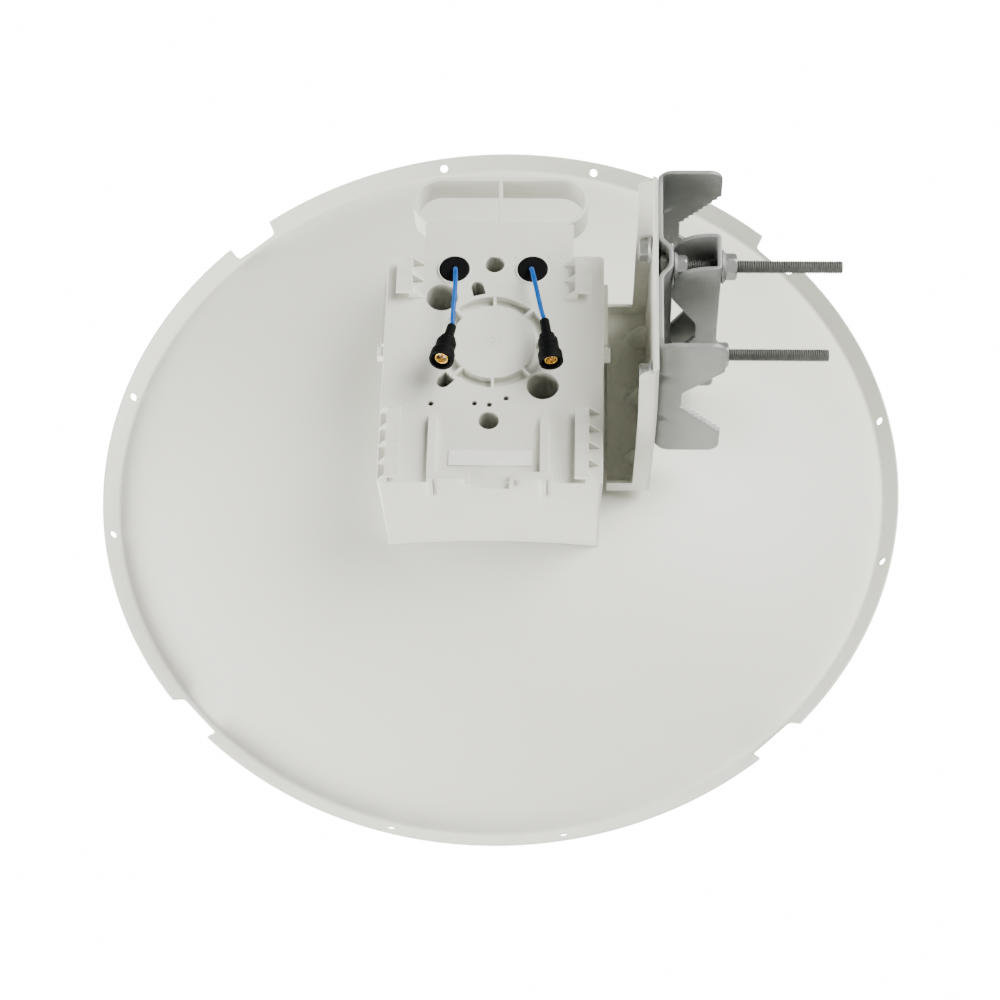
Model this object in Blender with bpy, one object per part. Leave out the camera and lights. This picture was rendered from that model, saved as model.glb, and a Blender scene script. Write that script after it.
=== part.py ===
# Microwave dish antenna with a tilting side bracket and a sliding pole clamp.
# Metres, +Z up. The dish looks along +Y, and the pole stands at its +X side.
# Pieces are drawn in the dish's own frame: x to the right, y up, z to the rear, with
# the rim plane at z = 0 and the dish's axis at x = y = 0. Three empties carry that
# frame to its place, so the origin lies on the rib of the pole bracket.
import math

import bmesh
import bpy
import numpy as np
from mathutils import Matrix, Vector

# Driving sizes of the dish
RIM_RADIUS = 0.325
SHEET = 0.002
FOCAL_LENGTH = 0.225
APEX = 0.0976
VALLEY_RADIUS = 0.3123
BRIM_INNER_EDGE = 0.3236
FEED_HOLE = 0.0215
RIM_HOLE_CIRCLE = 0.3181
RIM_HOLE_RADIUS = 0.0028
RIM_HOLE_ANGLE = math.radians(11.94)
RIM_TURN = -0.030
NOTCH_WIDTH = 0.040
NOTCH_BOTTOM = 0.3150
DISH_SIDES = 72

# Driving sizes of the rear housing
HALF_WIDTH = 0.0838
HOUSING_TOP = 0.0942
HOUSING_BOTTOM = -0.1092
REAR_FACE = 0.1746
WALL = 0.003
HOUSING_CORNER = 0.004
GAP = 0.0003
RING_CENTRE = (0.0, 0.0151)
RING_OUTER = 0.0380
RING_INNER = 0.0325
RING_DEPTH = 0.0070
BOSS_RADIUS = 0.0415

# Driving sizes of the brackets and the clamp
CLAMP_HEIGHT = 0.040
CLAMP_DEPTH = 0.179
BOLT_REACH = 0.057
ROD_REACH = 0.0605
BOLT_RADIUS = 0.005
HEX_ACROSS = 0.015
NUT_FLANGE = 0.011
OUTER_NUT_SIZE = 1.16
TILT_INNER = 0.1208
TILT_SHEET = 0.0025
TILT_LOW = -0.068
TILT_HIGH = 0.114
TILT_FLOOR = 0.0896
TILT_TOP = 0.255
TILT_LIP = 0.014
FLOOR_START = 0.087
TILT_RANGE = math.radians(12.0)
POLE_SHEET = 0.0035
POLE_FACE = TILT_INNER + TILT_SHEET + GAP
POLE_TIP = 0.1733
POLE_HALF_LENGTH = 0.079
POLE_HALF_HEIGHT = 0.0735
RIB_RISE = 0.0077
RIB_HALF_WIDTH = 0.0078
SEAT_RADIUS = 0.0118
SEAT_DEPTH = 0.0002
JAW_BACK = 0.1699
JAW_SHEET = 0.003
JAW_HALF_WIDTH = 0.0163
JAW_HALF_HEIGHT = 0.0805
JAW_NOSE = 0.133
ROD_END = 0.2600

RIB_FACE = POLE_FACE + RIB_RISE + POLE_SHEET
ORIGIN = Vector((RIB_FACE, CLAMP_HEIGHT, CLAMP_DEPTH))
PIVOT = Vector((RIB_FACE, CLAMP_HEIGHT - BOLT_REACH, CLAMP_DEPTH))
UPRIGHT = Matrix.Rotation(math.pi / 2, 4, "X")


def clear_scene():
    """Remove what the start-up file holds."""
    for thing in list(bpy.data.objects):
        bpy.data.objects.remove(thing, do_unlink=True)


def linear(value):
    """One sRGB channel, 0 to 255, as linear light."""
    share = value / 255.0
    if share <= 0.04045:
        return share / 12.92
    return ((share + 0.055) / 1.055) ** 2.4


def material(name, colour, roughness, metallic):
    """A Principled material from an sRGB hex colour."""
    made = bpy.data.materials.new(name)
    made.use_nodes = True
    shader = made.node_tree.nodes["Principled BSDF"]
    channels = [linear(int(colour[i:i + 2], 16)) for i in (0, 2, 4)]
    shader.inputs["Base Color"].default_value = (*channels, 1.0)
    shader.inputs["Roughness"].default_value = roughness
    shader.inputs["Metallic"].default_value = metallic
    return made


def frame(name, place):
    """An empty that stands the dish's frame upright, with its origin at place."""
    empty = bpy.data.objects.new(name, None)
    bpy.context.collection.objects.link(empty)
    empty.matrix_world = Matrix.Translation(UPRIGHT @ (place - ORIGIN)) @ UPRIGHT
    empty["place"] = tuple(place)
    return empty


def add_piece(name, shape, finish, parent, smooth=35.0):
    """An object from a bmesh drawn in the dish's frame, hung on its empty."""
    bmesh.ops.recalc_face_normals(shape, faces=shape.faces)
    mesh = bpy.data.meshes.new(name)
    shape.to_mesh(mesh)
    shape.free()
    mesh.shade_smooth()
    mesh.set_sharp_from_angle(angle=math.radians(smooth))
    mesh.materials.append(finish)
    piece = bpy.data.objects.new(name, mesh)
    bpy.context.collection.objects.link(piece)
    piece.parent = parent
    piece.location = -Vector(parent["place"])
    return piece


def change(piece, tool_shape, operation):
    """Add or cut a shape with a Boolean modifier, and keep the tool as a guide."""
    tool = add_piece(piece.name + "_" + operation.lower(), tool_shape,
                     piece.data.materials[0], piece.parent)
    tool.hide_render = True
    tool.display_type = "WIRE"
    modifier = piece.modifiers.new(operation.title(), "BOOLEAN")
    modifier.operation = operation
    modifier.object = tool
    modifier.use_self = operation == "UNION"


def loft(shape, rings, capped=True):
    """Skin rings of as many points each; the last one meets the first if uncapped."""
    rows = [[shape.verts.new(point) for point in ring] for ring in rings]
    count = len(rows[0])
    pairs = list(zip(rows, rows[1:]))
    if not capped:
        pairs.append((rows[-1], rows[0]))
    for low, high in pairs:
        for i in range(count):
            j = (i + 1) % count
            shape.faces.new((low[i], low[j], high[j], high[i]))
    if capped:
        shape.faces.new(rows[0])
        shape.faces.new(rows[-1])


def circle(centre, radius, axis, sides=24):
    """Points of a circle about an axis vector."""
    axis = Vector(axis).normalized()
    side = axis.orthogonal().normalized()
    if abs(axis.x) > 0.999:
        side = Vector((0, 1, 0))
    other = axis.cross(side)
    turn = [2 * math.pi * i / sides for i in range(sides)]
    return [Vector(centre) + radius * (math.cos(a) * side + math.sin(a) * other) for a in turn]


def hexagon(centre, across, axis, sides=24):
    """A hexagon with as many points as a circle, so that both can be lofted."""
    points = circle(centre, across / 2, axis, sides)
    middle = Vector(centre)
    result = []
    for i, point in enumerate(points):
        angle = 2 * math.pi * i / sides
        off_flat = (angle + math.pi / 6) % (math.pi / 3) - math.pi / 6
        result.append(middle + (point - middle) / math.cos(off_flat))
    return result


def turned(shape, profile, origin, axis, sides=24, capped=True):
    """Turn a profile of (radius, distance) pairs about an axis."""
    axis = Vector(axis).normalized()
    rings = [circle(Vector(origin) + axis * s, r, axis, sides) for r, s in profile]
    loft(shape, rings, capped)


def prism(shape, outline, low, high, along):
    """Extrude an outline along x, y or z; its pairs are the other two in order."""
    def lift(pair, height):
        point = list(pair)
        point.insert("xyz".index(along), height)
        return point
    loft(shape, [[lift(p, low) for p in outline], [lift(p, high) for p in outline]])


def box(shape, x, y, z):
    """A block between three pairs of limits."""
    prism(shape, [(x[0], y[0]), (x[1], y[0]), (x[1], y[1]), (x[0], y[1])], z[0], z[1], "z")


def arc(centre, radius, start, stop, steps):
    """Points of an arc in a plane, angles in degrees."""
    angles = np.radians(np.linspace(start, stop, steps))
    return [(centre[0] + radius * math.cos(a), centre[1] + radius * math.sin(a)) for a in angles]


def dish_back(x, y):
    """Height of the reflector's rear surface, a paraboloid."""
    return APEX - (x * x + y * y) / (4 * FOCAL_LENGTH)


def build_reflector(paint, parent):
    """Pressed paraboloid with a brim turned to the rear, eight holes and four notches."""
    radii = np.concatenate([[FEED_HOLE], np.linspace(0.045, VALLEY_RADIUS, 13)])
    back = [(r, dish_back(r, 0)) for r in radii]
    front = []
    for r, z in back:
        slope = -r / (2 * FOCAL_LENGTH)
        tilt = math.hypot(1, slope)
        front.append((r + SHEET * slope / tilt, z - SHEET / tilt))
    front[0] = (FEED_HOLE, front[0][1])
    front[-1] = (VALLEY_RADIUS + 0.0002, back[-1][1] - 0.0026)
    brim = [(BRIM_INNER_EDGE, 0.0), (RIM_RADIUS, -0.0014)]
    rings = []
    for r, z in back + brim + front[::-1]:
        angles = [2 * math.pi * i / DISH_SIDES for i in range(DISH_SIDES)]
        rings.append([(r * math.cos(a), r * math.sin(a), z) for a in angles])
    shape = bmesh.new()
    loft(shape, rings, capped=False)
    reflector = add_piece("reflector", shape, paint, parent, smooth=25.0)
    cuts = bmesh.new()
    for quarter in range(4):
        for side in (-1, 1):
            angle = quarter * math.pi / 2 + side * RIM_HOLE_ANGLE + RIM_TURN
            out = Vector((math.cos(angle), math.sin(angle), 0))
            middle = out * RIM_HOLE_CIRCLE + Vector((0, 0, -0.0055))
            normal = Vector((0.69 * out.x, 0.69 * out.y, -0.72))
            turned(cuts, [(RIM_HOLE_RADIUS, -0.006), (RIM_HOLE_RADIUS, 0.006)], middle, normal, 10)
        notch = quarter * math.pi / 2 + math.pi / 4 + RIM_TURN
        along = Vector((math.cos(notch), math.sin(notch), 0))
        across = Vector((-along.y, along.x, 0))
        half = NOTCH_WIDTH / 2
        corners = []
        for reach, width in ((NOTCH_BOTTOM, half), (0.34, half * 1.25)):
            corners.append(along * reach - across * width)
            corners.append(along * reach + across * width)
        outline = [(p.x, p.y) for p in (corners[0], corners[1], corners[3], corners[2])]
        prism(cuts, outline, -0.03, 0.02, "z")
    change(reflector, cuts, "DIFFERENCE")


def rounded_rectangle(inset, steps=12):
    """Outline of the housing, inset from its outer faces, with points along each side."""
    radius = HOUSING_CORNER - inset / 2
    right = HALF_WIDTH - inset
    top = HOUSING_TOP - inset
    bottom = HOUSING_BOTTOM + inset
    corners = [(right, top, 0), (-right, top, 90), (-right, bottom, 180), (right, bottom, 270)]
    outline = []
    for i, (x, y, start) in enumerate(corners):
        centre = (x - math.copysign(radius, x), y - math.copysign(radius, y))
        bend = arc(centre, radius, start, start + 90, 4)
        after = corners[(i + 1) % 4]
        next_centre = (after[0] - math.copysign(radius, after[0]),
                       after[1] - math.copysign(radius, after[1]))
        target = arc(next_centre, radius, after[2], after[2], 1)[0]
        outline += bend
        for step in range(1, steps):
            share = step / steps
            outline.append(tuple(a + (b - a) * share for a, b in zip(bend[-1], target)))
    return outline


def hook(shape, side, inner, outer, low, high, ribs, open_inward):
    """A hook block: a raised slab on a wall, with sloping ribs behind it."""
    top = REAR_FACE + 0.009
    base = REAR_FACE - 0.001
    wall_at, slope_to = (outer, outer + 0.0085) if open_inward else (inner, inner - 0.0085)
    step = math.copysign(0.002, wall_at - (inner + outer) / 2)
    slab_end = inner if open_inward else outer
    slab = [(side * wall_at, base), (side * (wall_at - step), base),
            (side * (wall_at - step), top - 0.0028), (side * slab_end, top - 0.0028),
            (side * slab_end, top), (side * wall_at, top)]
    prism(shape, slab, low, high, "y")
    for i in range(ribs):
        start = low + (high - low - 0.0016) * i / (ribs - 1)
        slope_end = side * slope_to
        if open_inward and abs(slope_to) > HALF_WIDTH - 0.0005:
            slope_end = side * (HALF_WIDTH - 0.0005)
        rib = [(side * (wall_at - step / 4), base), (slope_end, base),
               (slope_end, REAR_FACE + 0.0008), (side * (wall_at - step / 4), top - 0.0006)]
        prism(shape, rib, start, start + 0.0016, "y")


def build_housing(plastic, parent):
    """Moulded shell that sits on the back of the reflector."""
    outer = rounded_rectangle(0)
    inner = rounded_rectangle(WALL)
    shape = bmesh.new()
    loft(shape, [[(x, y, REAR_FACE - WALL) for x, y in inner],
                 [(x, y, dish_back(x, y) + GAP) for x, y in inner],
                 [(x, y, dish_back(x, y) + GAP) for x, y in outer],
                 [(x, y, REAR_FACE) for x, y in outer]])
    housing = add_piece("housing", shape, plastic, parent)

    added = bmesh.new()
    hook(added, -1, 0.0624, 0.0747, 0.0580, 0.0850, 3, False)
    hook(added, 1, 0.0624, 0.0747, 0.0580, 0.0850, 3, False)
    hook(added, -1, 0.0648, 0.0755, -0.1090, -0.0496, 5, True)
    hook(added, 1, 0.0648, 0.0755, -0.1090, -0.0496, 5, True)
    base = REAR_FACE - 0.001
    for side in (-1, 1):
        middle = side * 0.0426
        half = 0.0031
        rail = [(middle - half, -0.103), (middle + half, -0.103), (middle + half, -0.056),
                (middle, -0.0505), (middle - half, -0.056)]
        prism(added, rail, base, REAR_FACE + 0.006, "z")
        inner_end = side * 0.017
        outer_end = side * 0.0465
        low, high = min(inner_end, outer_end), max(inner_end, outer_end)
        box(added, (low, high), (HOUSING_BOTTOM, -0.1025), (base, REAR_FACE + 0.0058))
        box(added, (middle - 0.002, middle + 0.002), (HOUSING_BOTTOM - 0.0025, -0.108),
            (REAR_FACE - 0.018, REAR_FACE + 0.0057))
        box(added, (min(side * 0.083, side * 0.089), max(side * 0.083, side * 0.089)),
            (0.003, 0.012), (REAR_FACE - 0.011, REAR_FACE - 0.003))
        box(added, (min(side * 0.083, side * 0.087), max(side * 0.083, side * 0.087)),
            (0.020, 0.080), (REAR_FACE - 0.020, REAR_FACE - 0.012))
        turned(added, [(0.0116, -0.001), (0.0116, 0.0012), (0.0130, 0.0012), (0.0130, -0.001)],
               (side * 0.03025 - 0.00175, 0.0809 + side * 0.0001, REAR_FACE), (0, 0, 1), 32, capped=False)
    box(added, (-0.0168, 0.0168), (HOUSING_BOTTOM - 0.0045, HOUSING_BOTTOM + 0.001),
        (REAR_FACE - 0.0035, REAR_FACE - 0.0005))
    turned(added, [(BOSS_RADIUS, -0.0100), (BOSS_RADIUS, -0.0020)],
           (*RING_CENTRE, REAR_FACE), (0, 0, 1), 48)
    change(housing, added, "UNION")

    cuts = bmesh.new()
    for i in range(8):
        middle = 45 * i + 22.5
        outline = arc(RING_CENTRE, RING_OUTER, middle - 20.7, middle + 20.7, 7)
        outline += arc(RING_CENTRE, RING_INNER, middle + 20.3, middle - 20.3, 7)
        prism(cuts, outline, REAR_FACE - RING_DEPTH, REAR_FACE + 0.003, "z")
    holes = [(0.0, 0.0866, 0.0073), (-0.0412, 0.0550, 0.0103), (0.0392, -0.0239, 0.0124),
             (-0.0008, -0.0557, 0.0074), (-0.0446, -0.0408, 0.0018), (-0.0118, -0.0405, 0.0018),
             (-0.0007, -0.0416, 0.0018), (0.0119, -0.0358, 0.0018)]
    for x, y, radius in holes:
        sides = 28 if radius > 0.005 else 10
        prism(cuts, arc((x, y), radius, 0, 360 - 360 / sides, sides),
              REAR_FACE - 0.006, REAR_FACE + 0.004, "z")
    upper_slot = arc((-0.0127, 0.0650), 0.0056, 0, 180, 9) + [(-0.0183, 0.0568), (-0.0071, 0.0568)]
    prism(cuts, upper_slot, REAR_FACE - 0.006, REAR_FACE + 0.004, "z")
    lower_slot = arc((-0.0358, -0.0215), 0.0052, 135, 315, 9)
    lower_slot += [(-0.0262, -0.0191), (-0.0336, -0.0117)]
    prism(cuts, lower_slot, REAR_FACE - 0.006, REAR_FACE + 0.004, "z")
    change(housing, cuts, "DIFFERENCE")


def build_handle(plastic, parent):
    """Carrying loop: a stadium ring with a middle rib, on a flat tongue."""
    rear = 0.165
    depth = 0.024
    radius = 0.023
    reach = 0.0463
    height = 0.153
    wall = 0.003

    def stadium(size):
        return (arc((reach, height), size, -90, 90, 13) + arc((-reach, height), size, 90, 270, 13))
    shape = bmesh.new()
    prism_low = rear - depth
    rings = []
    for size, level in ((radius, prism_low), (radius, rear), (radius - wall, rear),
                        (radius - wall, prism_low)):
        rings.append([(x, y, level) for x, y in stadium(size)])
    loft(shape, rings, capped=False)
    handle = add_piece("handle", shape, plastic, parent)
    added = bmesh.new()
    box(added, (-0.0013, 0.0013), (height - radius + 0.001, height + radius - 0.001),
        (prism_low + 0.0004, rear - 0.0004))
    change(handle, added, "UNION")
    tongue = bmesh.new()
    box(tongue, (-0.0585, 0.0585), (HOUSING_TOP + GAP, height - radius + 0.0015),
        (rear - 0.0031, rear - 0.0001))
    for x in (-0.0565, 0.0, 0.0565):
        box(tongue, (x - 0.00125, x + 0.00125), (HOUSING_TOP + GAP, height - radius + 0.0016),
            (prism_low + 0.0006, rear - 0.0015))
    change(handle, tongue, "UNION")


def build_tilt_bracket(paint, parent):
    """White folded tray bracket; its side plate turns on the pivot bolt."""
    outer_face = TILT_INNER + TILT_SHEET
    round_off = 0.010
    lip_start = outer_face - TILT_LIP
    floor_top = TILT_FLOOR + TILT_SHEET
    section = [(FLOOR_START, TILT_FLOOR), (outer_face - 0.003, TILT_FLOOR),
               (outer_face - 0.0009, TILT_FLOOR + 0.0009), (outer_face, TILT_FLOOR + 0.003),
               (outer_face, TILT_TOP), (TILT_INNER, TILT_TOP),
               (TILT_INNER, floor_top), (FLOOR_START, floor_top)]
    shape = bmesh.new()
    prism(shape, section, TILT_LOW, TILT_HIGH, "y")
    bracket = add_piece("tilt_bracket", shape, paint, parent)
    lips = bmesh.new()
    for low, high in ((TILT_LOW + 0.0001, TILT_LOW + TILT_SHEET),
                      (TILT_HIGH - TILT_SHEET, TILT_HIGH - 0.0001)):
        lip = [(FLOOR_START + 0.0001, TILT_FLOOR + 0.0001), (outer_face - 0.0004, TILT_FLOOR + 0.0015),
               (outer_face - 0.0001, TILT_TOP - 0.0001)]
        lip += arc((lip_start + round_off, TILT_TOP - 0.003 - round_off), round_off, 90, 180, 6)
        lip += [(lip_start, TILT_FLOOR + TILT_LIP), (FLOOR_START + 0.0001, TILT_FLOOR + TILT_LIP)]
        prism(lips, lip, low, high, "y")
    for height in (-0.030, 0.020, 0.070):
        dart = [(TILT_INNER - 0.014, floor_top - 0.0006), (TILT_INNER + 0.0006, floor_top - 0.0006),
                (TILT_INNER + 0.0006, floor_top + 0.014)]
        prism(lips, dart, height - 0.005, height + 0.005, "y")
    change(bracket, lips, "UNION")
    cuts = bmesh.new()
    turned(cuts, [(BOLT_RADIUS + GAP, -0.01), (BOLT_RADIUS + GAP, 0.01)],
           (TILT_INNER, PIVOT.y, PIVOT.z), (1, 0, 0))
    reach = 2 * BOLT_REACH
    half = BOLT_RADIUS + 0.0006
    play = math.degrees(TILT_RANGE) + 0.4
    centre = (PIVOT.y, PIVOT.z)
    ends = [arc(centre, reach, a, a, 1)[0] for a in (play, -play)]
    outline = arc(centre, reach + half, -play, play, 15)
    outline += arc(ends[0], half, play, play + 180, 9)[1:-1]
    outline += arc(centre, reach - half, play, -play, 15)
    outline += arc(ends[1], half, 180 - play, 360 - play, 9)[1:-1]
    prism(cuts, outline, TILT_INNER - 0.01, TILT_INNER + 0.01, "x")
    change(bracket, cuts, "DIFFERENCE")


def flange_outline(sign, toothed_up):
    """Corner points of one V notch, as x and distance from the clamp's middle line."""
    base = 0.008
    mouth = 0.041
    root = 0.1415
    length = math.hypot(POLE_TIP - root, mouth - base)
    along = ((POLE_TIP - root) / length, (mouth - base) / length)
    plain = [(root, base), (POLE_TIP + 0.004, mouth + 0.004 * along[1] / along[0])]
    teeth = []
    count = 9
    for i in range(count):
        low = length * i / count
        high = length * (i + 0.62) / count
        for reach, bite in ((low, 0.0), (high, 0.0017)):
            teeth.append((root + reach * along[0] - bite * along[1],
                          base + reach * along[1] + bite * along[0]))
    teeth.append(plain[1])
    upper = teeth if toothed_up else plain
    lower = plain if toothed_up else teeth
    return [(x, CLAMP_DEPTH + sign * d) for x, d in upper] + \
           [(x, CLAMP_DEPTH - sign * d) for x, d in lower[::-1]]


def build_pole_bracket(steel, parent):
    """Grey channel with a cross rib and two notched flanges that seat the pole."""
    middle = CLAMP_HEIGHT
    bend = 0.004
    outer = [(POLE_TIP, -POLE_HALF_LENGTH), (POLE_FACE + bend, -POLE_HALF_LENGTH)]
    outer += arc((POLE_FACE + bend, -POLE_HALF_LENGTH + bend), bend, 250, 180, 4)
    rise = RIB_RISE
    width = RIB_HALF_WIDTH
    outer += [(POLE_FACE, -width - rise), (POLE_FACE + rise, -width)]
    shift = POLE_SHEET * math.tan(math.pi / 8)
    inside = [(RIB_FACE, -width - shift), (POLE_FACE + POLE_SHEET, -width - rise - shift),
              (POLE_FACE + POLE_SHEET, -POLE_HALF_LENGTH + POLE_SHEET),
              (POLE_TIP, -POLE_HALF_LENGTH + POLE_SHEET)]
    half = outer + [(x, -y) for x, y in outer[::-1]]
    other = [(x, -y) for x, y in inside[::-1]] + inside
    outline = [(x, middle + y) for x, y in half + other]
    shape = bmesh.new()
    prism(shape, outline, CLAMP_DEPTH - POLE_HALF_HEIGHT, CLAMP_DEPTH + POLE_HALF_HEIGHT, "z")
    bracket = add_piece("pole_bracket", shape, steel, parent)
    cuts = bmesh.new()
    prism(cuts, flange_outline(1, False), middle - POLE_HALF_LENGTH - 0.01, middle - 0.04, "y")
    prism(cuts, flange_outline(1, True), middle + 0.04, middle + POLE_HALF_LENGTH + 0.01, "y")
    round_off = 0.010
    for side in (-1, 1):
        corner = [(POLE_TIP + 0.002, POLE_HALF_HEIGHT + 0.002),
                  (POLE_TIP - round_off, POLE_HALF_HEIGHT + 0.002)]
        corner += arc((POLE_TIP - round_off, POLE_HALF_HEIGHT - round_off), round_off, 90, 0, 6)
        corner += [(POLE_TIP + 0.002, POLE_HALF_HEIGHT - round_off)]
        outline = [(x, CLAMP_DEPTH + side * d) for x, d in corner]
        prism(cuts, outline, middle - 0.1, middle + 0.1, "y")
        turned(cuts, [(BOLT_RADIUS + GAP, -0.02), (BOLT_RADIUS + GAP, 0.02)],
               (RIB_FACE, middle, CLAMP_DEPTH + side * ROD_REACH), (1, 0, 0))
        turned(cuts, [(BOLT_RADIUS + GAP, -0.01), (BOLT_RADIUS + GAP, 0.01)],
               (POLE_FACE, middle + side * BOLT_REACH, CLAMP_DEPTH), (1, 0, 0))
    change(bracket, cuts, "DIFFERENCE")
    seats = bmesh.new()
    for side in (-1, 1):
        turned(seats, [(SEAT_RADIUS, -SEAT_DEPTH), (SEAT_RADIUS, 0.005)],
               (RIB_FACE, middle, CLAMP_DEPTH + side * ROD_REACH), (1, 0, 0), 32)
    change(bracket, seats, "DIFFERENCE")


def build_jaw(steel, parent):
    """Grey clamp jaw: a narrow channel whose notched flanges face the bracket."""
    middle = CLAMP_HEIGHT
    inner_face = JAW_BACK - JAW_SHEET
    high = JAW_HALF_HEIGHT
    outer_half = JAW_HALF_WIDTH
    inner_half = JAW_HALF_WIDTH - JAW_SHEET
    front = JAW_NOSE - 0.001
    section = [(front, -outer_half), (JAW_BACK, -outer_half), (JAW_BACK, outer_half),
               (front, outer_half), (front, inner_half), (inner_face, inner_half),
               (inner_face, -inner_half), (front, -inner_half)]
    shape = bmesh.new()
    prism(shape, [(x, middle + y) for x, y in section], CLAMP_DEPTH - high, CLAMP_DEPTH + high, "z")
    jaw = add_piece("clamp_jaw", shape, steel, parent)
    edge = [(0.1500, high + 0.010)]
    edge += arc((0.1530, high - 0.0330), 0.0330, 100, 125, 4)
    edge += arc((JAW_NOSE + 0.0060, 0.0440), 0.0060, 180, 245, 5)
    edge += [(0.1530, 0.0080)]
    outline = [(x, CLAMP_DEPTH + d) for x, d in edge]
    outline += [(x, CLAMP_DEPTH - d) for x, d in edge[::-1]]
    outline += [(front - 0.005, CLAMP_DEPTH - high - 0.010), (front - 0.005, CLAMP_DEPTH + high + 0.010)]
    cuts = bmesh.new()
    prism(cuts, outline, middle - outer_half - 0.005, middle + outer_half + 0.005, "y")
    for side in (-1, 1):
        turned(cuts, [(BOLT_RADIUS + GAP, -0.0025), (BOLT_RADIUS + GAP, 0.01)],
               (inner_face + 0.0005, middle, CLAMP_DEPTH + side * ROD_REACH), (1, 0, 0))
    change(jaw, cuts, "DIFFERENCE")


def flange_nut(name, place, steel, parent, size=1.0):
    """Hexagon nut with a flange, bored to pass its bolt; place is its seat."""
    x, y, z = place
    bore, across, flange = BOLT_RADIUS + GAP, HEX_ACROSS * size, NUT_FLANGE * size
    stations = [(circle, bore, 0.0), (circle, flange, 0.0), (circle, flange, 0.0013 * size),
                (circle, across * 0.56, 0.0030 * size), (hexagon, across, 0.0030 * size),
                (hexagon, across, 0.0094 * size), (circle, across * 0.47, 0.0100 * size),
                (circle, bore, 0.0100 * size)]
    rings = []
    for draw, wide, rise in stations:
        rings.append(draw((x + rise, y, z), wide, (1, 0, 0)))
    shape = bmesh.new()
    loft(shape, rings, capped=False)
    add_piece(name, shape, steel, parent)


def build_fasteners(zinc, pole_frame, clamp_frame):
    """Clamp rods with their nuts, and the two bolts that hold the tilt bracket."""
    middle = CLAMP_HEIGHT
    for side, label in ((1, "upper"), (-1, "lower")):
        depth = CLAMP_DEPTH + side * ROD_REACH
        head_end = POLE_FACE + RIB_RISE - GAP
        rings = [hexagon((head_end - 0.0060, middle, depth), HEX_ACROSS * 0.96, (1, 0, 0)),
                 hexagon((head_end - 0.0055, middle, depth), HEX_ACROSS, (1, 0, 0)),
                 hexagon((head_end, middle, depth), HEX_ACROSS, (1, 0, 0)),
                 circle((head_end, middle, depth), BOLT_RADIUS, (1, 0, 0)),
                 circle((ROD_END - 0.001, middle, depth), BOLT_RADIUS, (1, 0, 0)),
                 circle((ROD_END, middle, depth), BOLT_RADIUS - 0.001, (1, 0, 0))]
        shape = bmesh.new()
        loft(shape, rings)
        add_piece("clamp_rod_" + label, shape, zinc, pole_frame)
        flange_nut("inner_nut_" + label, (RIB_FACE + GAP - SEAT_DEPTH, middle, depth),
                   zinc, pole_frame)
        flange_nut("outer_nut_" + label, (JAW_BACK + GAP, middle, depth), zinc, clamp_frame,
                   OUTER_NUT_SIZE)
    for side, label in ((-1, "pivot"), (1, "slot")):
        height = middle + side * BOLT_REACH
        seat = TILT_INNER - GAP
        stations = [(hexagon, HEX_ACROSS * 0.94, -0.0100), (hexagon, HEX_ACROSS, -0.0093),
                    (hexagon, HEX_ACROSS, -0.0030), (circle, HEX_ACROSS * 0.56, -0.0030),
                    (circle, NUT_FLANGE, -0.0013), (circle, NUT_FLANGE, 0.0),
                    (circle, BOLT_RADIUS, 0.0), (circle, BOLT_RADIUS, 0.0200),
                    (circle, BOLT_RADIUS - 0.001, 0.0210)]
        rings = []
        for draw, size, reach in stations:
            rings.append(draw((seat + reach, height, CLAMP_DEPTH), size, (1, 0, 0)))
        shape = bmesh.new()
        loft(shape, rings)
        add_piece(label + "_bolt", shape, zinc, pole_frame)
        flange_nut(label + "_nut", (POLE_FACE + POLE_SHEET + GAP, height, CLAMP_DEPTH),
                   zinc, pole_frame)


def smooth_route(points, spacing, leave, arrive):
    """Points at an even spacing along a smooth curve through the route's points."""
    points = np.array(points, dtype=float)
    knots = np.concatenate([[0], np.cumsum(np.linalg.norm(np.diff(points, axis=0), axis=1))])
    slopes = np.gradient(points, knots, axis=0)
    slopes[0] = leave
    slopes[-1] = arrive
    fine = np.linspace(0, knots[-1], 400)
    piece = np.clip(np.searchsorted(knots, fine, side="right") - 1, 0, len(knots) - 2)
    span = (knots[piece + 1] - knots[piece])[:, None]
    t = (fine - knots[piece])[:, None] / span
    curve = (2 * t**3 - 3 * t**2 + 1) * points[piece] + (t**3 - 2 * t**2 + t) * span * slopes[piece]
    curve += (3 * t**2 - 2 * t**3) * points[piece + 1] + (t**3 - t**2) * span * slopes[piece + 1]
    length = np.concatenate([[0], np.cumsum(np.linalg.norm(np.diff(curve, axis=0), axis=1))])
    count = max(4, round(length[-1] / spacing)) + 1
    even = np.linspace(0, length[-1], count)
    return np.stack([np.interp(even, length, curve[:, k]) for k in range(3)], axis=1)


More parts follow.
